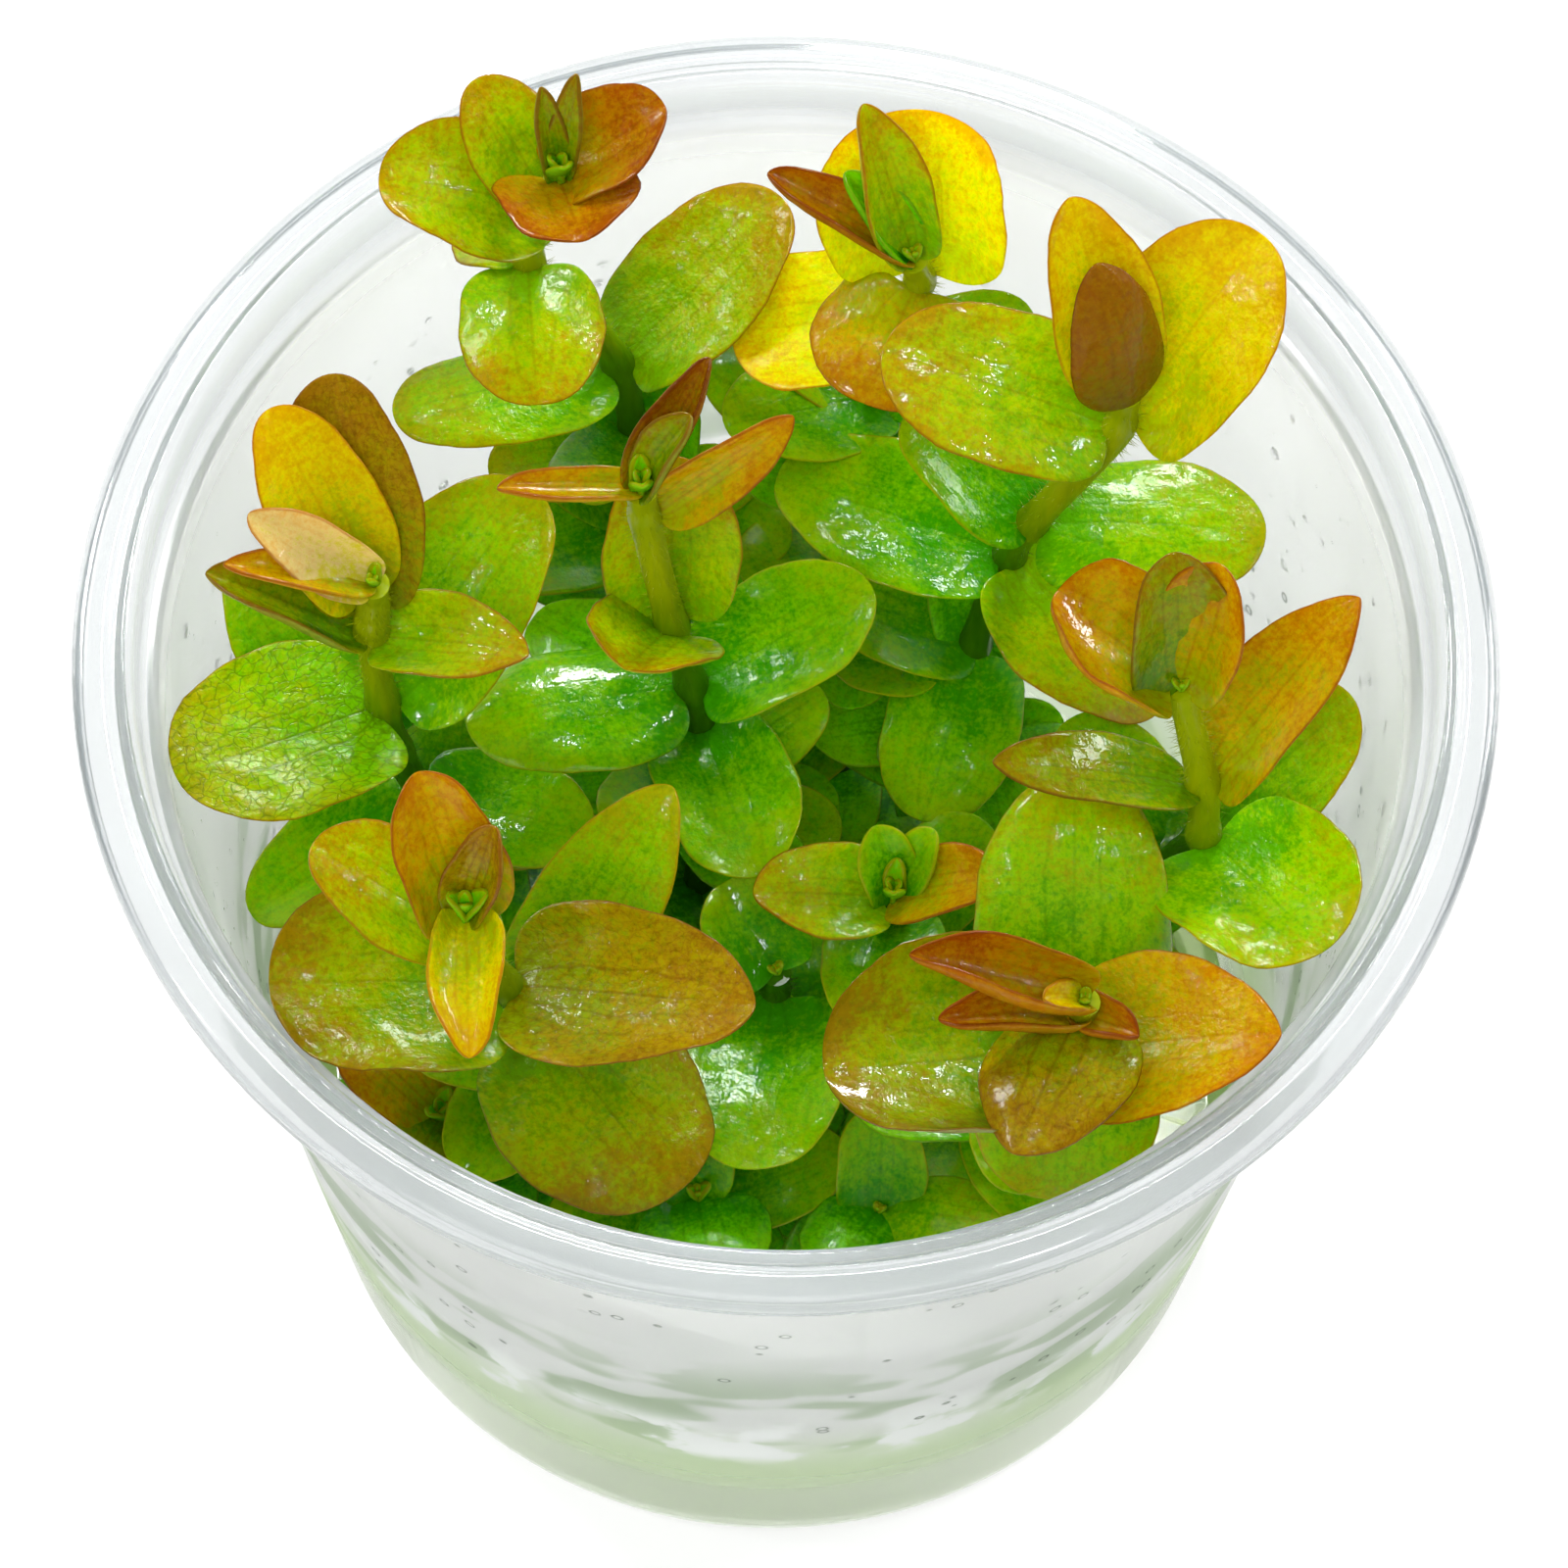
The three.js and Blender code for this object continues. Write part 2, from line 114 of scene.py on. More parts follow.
def add_node(
    tree: bpy.types.NodeTree, kind: str, settings: dict | None = None, inputs: dict | tuple = ()
) -> bpy.types.Node:
    """Adds a node, sets its properties, and fills or links its inputs.

    Args:
        tree: The node tree that gets the node.
        kind: The node's type.
        settings: Properties of the node by name.
        inputs: Values, or sockets to link from, by the input's name or number, or in their order.

    Returns:
        The new node.
    """
    node = tree.nodes.new(kind)
    for name, value in (settings or {}).items():
        setattr(node, name, value)
    rows = inputs if isinstance(inputs, dict) else dict(enumerate(inputs))
    for key, value in rows.items():
        if isinstance(value, bpy.types.NodeSocket):
            tree.links.new(value, node.inputs[key])
        else:
            node.inputs[key].default_value = value
    return node


def new_material(name: str) -> tuple[bpy.types.Material, bpy.types.NodeTree]:
    """Makes an empty node material.

    Args:
        name: The finish's name.

    Returns:
        The material and its node tree, with no nodes.
    """
    material = bpy.data.materials.new(name)
    material.use_nodes = True
    material.node_tree.nodes.clear()
    return material, material.node_tree


def set_stops(node: bpy.types.Node, stops: list[tuple[float, str]]) -> bpy.types.NodeSocket:
    """Sets the colours of a colour ramp.

    Args:
        node: The colour ramp.
        stops: Places from 0 to 1, each with its hex colour.

    Returns:
        The socket of the colour.
    """
    marks = node.color_ramp.elements
    while len(marks) < len(stops):
        marks.new(0.5)
    for mark, (where, colour) in zip(marks, stops):
        mark.position = where
        mark.color = linear(colour)
    return node.outputs["Color"]


@dataclass(frozen=True)
class LeafFinish:
    """Living leaf: a waxy fleshy skin, grown under plastic in damp air, that light shines through.

    The eye sees a soft gloss broken up by fine cells, a net of darker veins and a thin dark margin.
    Pattern scales are features in a millimetre: patches of 3 mm, a net of 0.75 mm, mottles of 0.7 mm and
    cells of 0.35 mm, which are drawn coarser than real cells so that they show.
    """

    name: str
    heart: str
    blade: str
    tip: str
    margin: str
    vein: str
    underside: str
    roughness: float
    veins: float
    glow: float
    net: float = 0.12

    def build(self) -> bpy.types.Material:
        """Makes the material from the blade's own marks: u, v, face, and places in millimetres.

        Returns:
            The material.
        """
        material, tree = new_material(self.name)
        marks = add_node(tree, "ShaderNodeAttribute", {"attribute_name": "blade"}).outputs["Vector"]
        mark = add_node(tree, "ShaderNodeSeparateXYZ", None, (marks,)).outputs
        span = add_node(tree, "ShaderNodeAttribute", {"attribute_name": "span"}).outputs["Vector"]
        half = add_node(tree, "ShaderNodeSeparateXYZ", None, (span,)).outputs[2]
        aside = add_node(tree, MATH, {"operation": "ABSOLUTE"}, (mark[1],)).outputs[0]
        drawn = self._veins(tree, span, mark, aside, half)
        colour = self._colour(tree, span, mark, aside, drawn)
        colour = self._margin(tree, mark, aside, half, colour)
        cells = {"Vector": span, "Scale": 2.6, "Detail": 2.0, "Roughness": 0.5}
        fine = add_node(tree, NOISE, FLAT, cells).outputs[0]
        rough = add_node(tree, MATH, TIMES_PLUS, (fine, 0.12, self.roughness - 0.06)).outputs[0]
        relief, film_relief = self._relief(tree, span, drawn, fine)
        inputs = {
            "Base Color": colour,
            "Roughness": rough,
            "IOR": 1.45,
            "Specular IOR Level": 0.18,
            "Specular Tint": (1.0, 0.97, 0.6, 1.0),
            "Coat Weight": self._film(tree, span),
            "Coat Roughness": 0.03,
            "Normal": relief,
            "Coat Normal": film_relief,
        }
        skin = add_node(tree, "ShaderNodeBsdfPrincipled", None, inputs).outputs[0]
        brighter = {"Saturation": 1.12, "Value": 1.5, "Color": colour}
        lit = add_node(tree, "ShaderNodeHueSaturation", None, brighter).outputs[0]
        through = add_node(tree, "ShaderNodeBsdfTranslucent", None, (lit,)).outputs[0]
        mixed = add_node(tree, "ShaderNodeMixShader", None, (self.glow, skin, through)).outputs[0]
        add_node(tree, "ShaderNodeOutputMaterial", None, (mixed,))
        return material

    def _colour(
        self, tree: bpy.types.NodeTree, span: object, mark: object, aside: object, drawn: object
    ) -> bpy.types.NodeSocket:
        """Colours the blade from heart to tip, in patches and fine mottles, and lays the veins over it.

        Args:
            tree: The node tree.
            span: Place on the blade in millimetres.
            mark: The sockets u, v and face.
            aside: Distance from the midrib, from 0 to 1.
            drawn: How strong the veins are.

        Returns:
            The socket of the colour.
        """
        broad = {"Vector": span, "Scale": 0.3, "Detail": 8.0, "Roughness": 0.68}
        patches = add_node(tree, NOISE, FLAT, broad).outputs[0]
        shift = add_node(tree, MATH, TIMES_PLUS, (patches, 1.5, -0.85)).outputs[0]
        along = add_node(tree, MATH, PLUS, (mark[0], shift)).outputs[0]
        cubed = add_node(tree, MATH, {"operation": "POWER"}, (aside, 3.0)).outputs[0]
        outward = add_node(tree, MATH, TIMES_PLUS, (cubed, 0.25, along)).outputs[0]
        fine = {"Vector": span, "Scale": 2.4, "Detail": 3.0, "Roughness": 0.7}
        grain = add_node(tree, NOISE, FLAT, fine).outputs[0]
        scatter = add_node(tree, MATH, TIMES_PLUS, (grain, 0.9, -0.45)).outputs[0]
        reached = add_node(tree, MATH, PLUS, (outward, scatter)).outputs[0]
        stops = [(0.05, self.heart), (0.5, self.blade), (1.0, self.tip)]
        colour = set_stops(add_node(tree, "ShaderNodeValToRGB", None, (reached,)), stops)
        dapples = {"Vector": span, "Scale": 1.4, "Detail": 8.0, "Roughness": 0.8}
        dapple = add_node(tree, NOISE, FLAT, dapples).outputs[0]
        mottle = add_node(tree, RANGE, SOFT, (dapple, 0.42, 0.7, 0.0, 0.7)).outputs[0]
        share = add_node(tree, MATH, TIMES, (mottle, self.veins)).outputs[0]
        colour = add_node(tree, MIX, COLOURS, {0: share, 6: colour, 7: linear(self.vein)}).outputs[2]
        share = add_node(tree, MATH, TIMES, (drawn, self.veins)).outputs[0]
        return add_node(tree, MIX, COLOURS, {0: share, 6: colour, 7: linear(self.vein)}).outputs[2]

    def _margin(
        self, tree: bpy.types.NodeTree, mark: object, aside: object, half: object, colour: object
    ) -> bpy.types.NodeSocket:
        """Darkens the blade's margin and pales its underside.

        Args:
            tree: The node tree.
            mark: The sockets u, v and face.
            aside: Distance from the midrib, from 0 to 1.
            half: Half of the blade's width there, in millimetres.
            colour: The colour so far.

        Returns:
            The socket of the new colour.
        """
        inward = add_node(tree, MATH, {"operation": "SUBTRACT"}, (1.0, aside)).outputs[0]
        edge = add_node(tree, MATH, TIMES, (half, inward)).outputs[0]
        near = add_node(tree, RANGE, SOFT, (edge, 0.03, 0.2, 1.0, 0.0)).outputs[0]
        past_base = add_node(tree, RANGE, SOFT, (mark[0], 0.08, 0.4, 0.0, 0.7)).outputs[0]
        rim = add_node(tree, MATH, TIMES, (near, past_base)).outputs[0]
        colour = add_node(tree, MIX, COLOURS, {0: rim, 6: colour, 7: linear(self.margin)}).outputs[2]
        below = add_node(tree, RANGE, SOFT, (mark[2], -0.9, -0.1, 0.5, 0.0)).outputs[0]
        return add_node(tree, MIX, COLOURS, {0: below, 6: colour, 7: linear(self.underside)}).outputs[2]

    @staticmethod
    def _relief(
        tree: bpy.types.NodeTree, span: object, drawn: object, fine: object
    ) -> tuple[bpy.types.NodeSocket, bpy.types.NodeSocket]:
        """Raises the skin a little between its veins, and its film of water less sharply.

        Args:
            tree: The node tree.
            span: Place on the blade in millimetres.
            drawn: How strong the veins are.
            fine: The fine cells of the skin.

        Returns:
            The sockets of the skin's normal and of the film's.
        """
        waves = {"Vector": span, "Scale": 0.45, "Detail": 1.0, "Roughness": 0.5}
        wave = add_node(tree, NOISE, FLAT, waves).outputs[0]
        swell = add_node(tree, MATH, TIMES_PLUS, (drawn, -0.12, wave)).outputs[0]
        height = add_node(tree, MATH, TIMES_PLUS, (fine, 0.3, swell)).outputs[0]
        inputs = {"Height": height, "Distance": 0.00035, "Strength": 0.6}
        skin = add_node(tree, "ShaderNodeBump", None, inputs).outputs[0]
        pores = {"Vector": span, "Scale": 3.0, "Detail": 1.0, "Roughness": 0.5}
        pore = add_node(tree, NOISE, FLAT, pores).outputs[0]
        height = add_node(tree, MATH, TIMES_PLUS, (pore, 0.1, swell)).outputs[0]
        inputs = {"Height": height, "Distance": 0.0002, "Strength": 0.7}
        return skin, add_node(tree, "ShaderNodeBump", None, inputs).outputs[0]

    @staticmethod
    def _film(tree: bpy.types.NodeTree, span: object) -> bpy.types.NodeSocket:
        """Finds how thick the film of water is: the blade's own share, broken into patches.

        Args:
            tree: The node tree.
            span: Place on the blade in millimetres.

        Returns:
            The socket of the coat's weight.
        """
        wet = add_node(tree, "ShaderNodeAttribute", {"attribute_name": "wet"}).outputs["Fac"]
        pools = {"Vector": span, "Scale": 0.35, "Detail": 2.0, "Roughness": 0.5}
        pool = add_node(tree, NOISE, FLAT, pools).outputs[0]
        share = add_node(tree, RANGE, SOFT, (pool, 0.36, 0.58, 0.5, 1.0)).outputs[0]
        return add_node(tree, MATH, TIMES, (wet, share)).outputs[0]

    def _veins(
        self, tree: bpy.types.NodeTree, span: object, mark: object, aside: object, half: object
    ) -> bpy.types.NodeSocket:
        """Draws the veins that run from base to tip, and the net between them.

        Args:
            tree: The node tree.
            span: Place on the blade in millimetres.
            mark: The sockets u, v and face.
            aside: Distance from the midrib, from 0 to 1.
            half: Half of the blade's width there, in millimetres.

        Returns:
            The socket of how strong they are.
        """
        bends = {"Vector": span, "Scale": 0.5, "Detail": 1.0, "Roughness": 0.5}
        bend = add_node(tree, NOISE, FLAT, bends).outputs[0]
        wander = add_node(tree, MATH, TIMES_PLUS, (bend, 0.12, -0.06)).outputs[0]
        off_midrib = add_node(tree, RANGE, SOFT, (aside, 0.0, 0.2, 0.0, 1.0)).outputs[0]
        moved = add_node(tree, MATH, TIMES_PLUS, (wander, off_midrib, aside)).outputs[0]
        nearest = add_node(tree, MATH, {"operation": "PINGPONG"}, (moved, VEIN_STEP / 2)).outputs[0]
        distance = add_node(tree, MATH, TIMES, (nearest, half)).outputs[0]
        shown = add_node(tree, RANGE, SOFT, (aside, 0.05, 0.8, 1.0, 0.25)).outputs[0]
        line = add_node(tree, RANGE, SOFT, (distance, 0.03, 0.19, 1.0, 0.0)).outputs[0]
        line = add_node(tree, MATH, TIMES, (line, shown)).outputs[0]
        before_tip = add_node(tree, RANGE, SOFT, (mark[0], 0.55, 1.0, 1.0, 0.3)).outputs[0]
        line = add_node(tree, MATH, TIMES, (line, before_tip)).outputs[0]
        line = add_node(tree, MATH, TIMES, (line, 0.35 + 0.6 * self.net)).outputs[0]
        warp = add_node(tree, NOISE, FLAT, {"Vector": span, "Scale": 0.8}).outputs["Color"]
        warped = add_node(tree, VECTOR, TIMES_PLUS, (warp, (1.2, 1.2, 0.0), span)).outputs[0]
        squeezed = add_node(tree, VECTOR, TIMES, (warped, (0.75, 1.0, 0.0))).outputs[0]
        settings = {"voronoi_dimensions": "2D", "feature": "DISTANCE_TO_EDGE"}
        meshes = {"Vector": squeezed, "Scale": 1.35}
        cells = add_node(tree, "ShaderNodeTexVoronoi", settings, meshes).outputs["Distance"]
        net = add_node(tree, RANGE, SOFT, (cells, 0.01, 0.11, 1.0, 0.0)).outputs[0]
        net = add_node(tree, MATH, TIMES, (net, self.net)).outputs[0]
        return add_node(tree, MATH, {"operation": "MAXIMUM"}, (line, net)).outputs[0]


class Tone(Enum):
    """Finishes of the leaves, from the shaded ones deep in the cup to the tips in full light."""

    DEEP = LeafFinish(
        "leaf deep green", "#3ca000", "#70c800", "#88c800", "#708c10", "#145c00", "#70b41c", 0.18, 0.6, 0.4
    )
    GREEN = LeafFinish(
        "leaf green", "#3c9800", "#78b800", "#98b800", "#a09c08", "#246c00", "#94c824", 0.18, 0.6, 0.42
    )
    LIME = LeafFinish(
        "leaf lime", "#5ca800", "#98c400", "#aca800", "#a07c08", "#387400", "#b4cc38", 0.20, 0.6, 0.42
    )
    CITRUS = LeafFinish(
        "leaf yellow green", "#78b000", "#a8bc00", "#b09000", "#8c5408", "#6c6000", "#bcc440", 0.22, 0.65, 0.4
    )
    GOLD = LeafFinish(
        "leaf gold", "#a4b800", "#d0c800", "#c8a400", "#985808", "#a87000", "#dcd050", 0.22, 0.6, 0.45
    )
    SUN = LeafFinish(
        "leaf sunlit gold", "#c0d400", "#e0e000", "#dcb800", "#a86408", "#b07800", "#e8dc58", 0.22, 0.6, 0.5
    )
    AMBER = LeafFinish(
        "leaf amber", "#98a800", "#c0a400", "#b87c00", "#84400c", "#8c4800", "#c4a430", 0.22, 0.65, 0.42
    )
    RUSSET = LeafFinish(
        "leaf russet", "#809400", "#a08c00", "#987008", "#784810", "#603c00", "#a89040", 0.24, 0.85, 0.36, 0.3
    )
    COPPER = LeafFinish(
        "leaf copper", "#a09000", "#b07c00", "#a05404", "#70340a", "#743000", "#a47414", 0.24, 0.65, 0.4
    )
    BROWN = LeafFinish(
        "leaf red brown", "#7c8400", "#986c00", "#884404", "#582a0a", "#5c2808", "#8c600c", 0.26, 0.85, 0.36
    )
    OLIVE = LeafFinish(
        "leaf olive", "#609400", "#90a000", "#947804", "#704810", "#505000", "#a0a444", 0.22, 0.65, 0.4
    )
    ROSE = LeafFinish(
        "leaf rose", "#bcb81c", "#d0c078", "#cca858", "#9c6020", "#b08c40", "#dcc488", 0.24, 0.35, 0.4
    )
    NET = LeafFinish(
        "leaf with dark veins",
        "#78bc00",
        "#9cbc00",
        "#a8a400",
        "#8c6008",
        "#486400",
        "#b4cc38",
        0.22,
        0.75,
        0.42,
        0.7,
    )
    BUD = LeafFinish(
        "leaf new growth", "#54c000", "#6cc400", "#90b000", "#8c8000", "#44a400", "#80c818", 0.20, 0.2, 0.35
    )


@dataclass(frozen=True)
class StemFinish:
    """Fleshy water plant stem, grown upright in damp air: smooth skin over long thin fibres.

    The eye sees it go from dark green low down to olive gold at the tip, with faint streaks 5 mm long and
    0.7 mm wide. Pattern scales are features in a metre.
    """

    name: str = "stem skin"
    low: str = "#2a5c00"
    middle: str = "#4c7c00"
    high: str = "#909c00"

    def build(self) -> bpy.types.Material:
        """Makes the material, which changes colour with height.

        Returns:
            The material.
        """
        material, tree = new_material(self.name)
        where = add_node(tree, "ShaderNodeTexCoord").outputs["Object"]
        height = add_node(tree, "ShaderNodeSeparateXYZ", None, (where,)).outputs[2]
        drawn_out = {"Vector": where, "Scale": (1500, 1500, 220)}
        stretched = add_node(tree, "ShaderNodeMapping", None, drawn_out).outputs[0]
        streaks = add_node(tree, NOISE, None, {"Vector": stretched, "Scale": 1.0}).outputs[0]
        raised = add_node(tree, RANGE, SOFT, (height, 0.066, 0.088, -0.1, 0.75)).outputs[0]
        level = add_node(tree, MATH, TIMES_PLUS, (streaks, 0.4, raised)).outputs[0]
        stops = [(0.05, self.low), (0.5, self.middle), (1.0, self.high)]
        colour = set_stops(add_node(tree, "ShaderNodeValToRGB", None, (level,)), stops)
        inputs = {"Height": streaks, "Distance": 0.0002, "Strength": 0.4}
        bump = add_node(tree, "ShaderNodeBump", None, inputs).outputs[0]
        inputs = {
            "Base Color": colour,
            "Roughness": 0.28,
            "IOR": 1.45,
            "Specular IOR Level": 0.3,
            "Coat Weight": 0.12,
            "Coat Roughness": 0.06,
            "Normal": bump,
        }
        skin = add_node(tree, "ShaderNodeBsdfPrincipled", None, inputs).outputs[0]
        through = add_node(tree, "ShaderNodeBsdfTranslucent", None, (colour,)).outputs[0]
        mixed = add_node(tree, "ShaderNodeMixShader", None, (0.15, skin, through)).outputs[0]
        add_node(tree, "ShaderNodeOutputMaterial", None, (mixed,))
        return material


@dataclass(frozen=True)
class CupFinish:
    """Clear polypropylene, injection moulded: almost colourless, a little milky, damp on its inside.

    The eye sees its edges as grey lines, and its wall as a pale haze with clearer, greener spots that stand
    for wet leaves lying against it. The haze's colour paints light and shade: the spots are painted leaf
    shade, the gel zone has a green glow of painted leaf light, the brim has grey painted shade for the grey
    edges, and each bead of water has a dark ring of painted shade. Heights are in metres over the foot, and
    pattern scales are features
    in a metre: leaf shade spots 12 mm wide and 6 mm high, foam in 6 mm lumps, and beads of water 2.4 mm
    apart.
    """

    name: str = "clear polypropylene"
    tint: str = "#fefefe"
    haze: str = "#f6f8f7"
    # Painted leaf shade: the greener, darker haze of the spots that stand for wet leaves against the wall
    leaf_shade: str = "#94b47c"
    # Painted leaf light: the green glow of the haze where the gel lies behind the wall
    gel_leaf_light: str = "#cce8a4"
    # Painted shade: the grey of the haze on the brim, for the cup's grey edges
    brim: str = "#c0c8ca"
    # Painted shade: the dark ring round each bead of water
    rings: str = "#80887c"
    neck_foot: float = 0.0805
    neck_top: float = 0.082

    def build(self) -> bpy.types.Material:
        """Makes the material, with the haze, the spots of painted leaf shade and the foam shared out over the
        wall.

        Returns:
            The material.
        """
        material, tree = new_material(self.name)
        where = add_node(tree, "ShaderNodeTexCoord").outputs["Object"]
        height = add_node(tree, "ShaderNodeSeparateXYZ", None, (where,)).outputs[2]
        under_neck = add_node(tree, RANGE, SOFT, (height, 0.078, 0.084, 1.0, 0.0)).outputs[0]
        over_foot = add_node(tree, RANGE, SOFT, (height, 0.012, 0.02, 0.0, 1.0)).outputs[0]
        body = add_node(tree, MATH, TIMES, (under_neck, over_foot)).outputs[0]
        # Where the gel lies behind the wall, the haze gets a glow of painted leaf light
        gel = add_node(tree, RANGE, SOFT, (height, 0.02, 0.036, 1.0, 0.0)).outputs[0]
        # Spots of painted leaf shade over the wall
        spot = self._leaf_shade_spots(tree, where, height)
        lumps = self._beads(tree, where, height)
        froth = self._froth(tree, where, height)
        small = add_node(tree, MATH, TIMES, (lumps, 0.5)).outputs[0]
        foam = add_node(tree, MATH, {"operation": "MAXIMUM"}, (froth, small)).outputs[0]
        # Painted shade: the edges of the beads get a dark ring in the haze
        outside = add_node(tree, MATH, {"operation": "SUBTRACT"}, (1.0, lumps)).outputs[0]
        slope = add_node(tree, MATH, TIMES, (lumps, outside)).outputs[0]
        edge = add_node(tree, MATH, TIMES, (slope, 3.0)).outputs[0]
        inputs = {"Height": lumps, "Distance": 0.0004, "Strength": 1.0}
        relief = add_node(tree, "ShaderNodeBump", None, inputs).outputs[0]
        rough = add_node(tree, MATH, TIMES_PLUS, (body, 0.18, 0.1)).outputs[0]
        inputs = {
            "Base Color": linear(self.tint),
            "Roughness": rough,
            "IOR": 1.49,
            "Transmission Weight": 1.0,
            "Normal": relief,
        }
        clear = add_node(tree, "ShaderNodeBsdfPrincipled", None, inputs).outputs[0]
        mist = self._mist(tree, height, spot, gel, foam, edge)
        milk = add_node(tree, "ShaderNodeBsdfTranslucent", None, (mist,)).outputs[0]
        film = add_node(tree, "ShaderNodeBsdfDiffuse", None, {"Color": mist, "Normal": relief}).outputs[0]
        veil = add_node(tree, "ShaderNodeMixShader", None, (0.52, milk, film)).outputs[0]
        neck = (height, self.neck_foot, self.neck_top, 0.12, 0.3)
        share = add_node(tree, RANGE, SOFT, neck).outputs[0]
        for zone, strength in ((body, 0.24), (gel, 0.1), (spot, 0.08), (foam, 0.5), (edge, 0.35)):
            share = add_node(tree, MATH, TIMES_PLUS, (zone, strength, share)).outputs[0]
        mixed = add_node(tree, "ShaderNodeMixShader", None, (share, clear, veil)).outputs[0]
        add_node(tree, "ShaderNodeOutputMaterial", None, (mixed,))
        return material

    def _mist(
        self, tree: bpy.types.NodeTree, height: object, spot: object, gel: object, foam: object, edge: object
    ) -> bpy.types.NodeSocket:
        """Colours the haze on the wall, with painted light and shade: green leaf shade in the spots, a green
        glow of leaf light over the gel, grey shade on the brim and a dark ring of shade round each bead.

        Args:
            tree: The node tree.
            height: Height over the foot, in metres.
            spot: Where painted leaf shade stands for wet leaves against the wall.
            gel: Where gel lies behind the wall, which gets a green glow of painted leaf light.
            foam: Where there is foam or a bead.
            edge: Where the edges of the beads are, which get a dark ring of painted shade.

        Returns:
            The socket of the colour.
        """
        # Painted leaf shade in the spots
        leaf_shade = add_node(tree, MATH, TIMES, (spot, 0.9)).outputs[0]
        # Painted leaf light over the gel
        gel_leaf_light = add_node(tree, MATH, TIMES, (gel, 0.8)).outputs[0]
        # Painted shade: grey haze on the brim
        neck = (height, self.neck_foot, self.neck_top, 0.0, 1.0)
        brim = add_node(tree, RANGE, SOFT, neck).outputs[0]
        mist = linear(self.haze)
        layers = [
            (leaf_shade, self.leaf_shade),
            (gel_leaf_light, self.gel_leaf_light),
            (brim, self.brim),
            (foam, self.haze),
            # Painted shade: dark rings round the beads
            (edge, self.rings),
        ]
        for share, colour in layers:
            mist = add_node(tree, MIX, COLOURS, {0: share, 6: mist, 7: linear(colour)}).outputs[2]
        return mist

    @staticmethod
    def _leaf_shade_spots(tree: bpy.types.NodeTree, where: object, height: object) -> bpy.types.NodeSocket:
        """Finds where painted leaf shade greens and darkens the haze, standing for wet leaves against the
        wall.

        Args:
            tree: The node tree.
            where: Place on the cup, in metres.
            height: Height over the foot, in metres.

        Returns:
            The socket of how much they show there.
        """
        flattened = {"Vector": where, "Scale": (85, 85, 180)}
        wide = add_node(tree, "ShaderNodeMapping", None, flattened).outputs[0]
        spots = add_node(tree, NOISE, None, {"Vector": wide, "Scale": 1.0, "Detail": 1.0}).outputs[0]
        sharp = add_node(tree, RANGE, SOFT, (spots, 0.49, 0.57, 0.0, 1.0)).outputs[0]
        lower = add_node(tree, RANGE, SOFT, (height, 0.04, 0.056, 1.0, 0.0)).outputs[0]
        upper = add_node(tree, RANGE, SOFT, (height, 0.02, 0.026, 0.0, 1.0)).outputs[0]
        zone = add_node(tree, MATH, TIMES, (lower, upper)).outputs[0]
        return add_node(tree, MATH, TIMES, (sharp, zone)).outputs[0]

    @staticmethod
    def _froth(tree: bpy.types.NodeTree, where: object, height: object) -> bpy.types.NodeSocket:
        """Finds where foam sits on the wall, just over the gel.

        Args:
            tree: The node tree.
            where: Place on the cup, in metres.
            height: Height over the foot, in metres.

        Returns:
            The socket of how white it is there.
        """
        froth = add_node(tree, NOISE, None, {"Vector": where, "Scale": 170.0, "Detail": 5.0}).outputs[0]
        lower = add_node(tree, RANGE, SOFT, (height, 0.032, 0.038, 1.0, 0.0)).outputs[0]
        upper = add_node(tree, RANGE, SOFT, (height, 0.022, 0.026, 0.0, 1.0)).outputs[0]
        band = add_node(tree, MATH, TIMES, (lower, upper)).outputs[0]
        sharp = add_node(tree, RANGE, SOFT, (froth, 0.5, 0.6, 0.0, 1.0)).outputs[0]
        return add_node(tree, MATH, TIMES, (sharp, band)).outputs[0]

    @staticmethod
    def _beads(tree: bpy.types.NodeTree, where: object, height: object) -> bpy.types.NodeSocket:
        """Finds how far small beads of water, about a millimetre across, stand out from the wall.

        Args:
            tree: The node tree.
            where: Place on the cup, in metres.
            height: Height over the foot, in metres.

        Returns:
            The socket of their height, from 0 to 1.
        """
        beads = add_node(tree, "ShaderNodeTexVoronoi", None, {"Vector": where, "Scale": 420.0}).outputs
        shade = add_node(tree, "ShaderNodeSeparateXYZ", None, (beads["Color"],)).outputs[0]
        some = add_node(tree, RANGE, SOFT, (shade, 0.6, 0.62, 0.0, 1.0)).outputs[0]
        crowd = add_node(tree, NOISE, None, {"Vector": where, "Scale": 60.0}).outputs[0]
        crowded = add_node(tree, RANGE, SOFT, (crowd, 0.46, 0.52, 0.0, 1.0)).outputs[0]
        kept = add_node(tree, MATH, TIMES, (some, crowded)).outputs[0]
        round_bead = add_node(tree, RANGE, SOFT, (beads["Distance"], 0.1, 0.24, 1.0, 0.0)).outputs[0]
        lumps = add_node(tree, MATH, TIMES, (round_bead, kept)).outputs[0]
        lower = add_node(tree, RANGE, SOFT, (height, 0.064, 0.07, 1.0, 0.0)).outputs[0]
        upper = add_node(tree, RANGE, SOFT, (height, 0.028, 0.034, 0.0, 1.0)).outputs[0]
        zone = add_node(tree, MATH, TIMES, (lower, upper)).outputs[0]
        return add_node(tree, MATH, TIMES, (lumps, zone)).outputs[0]


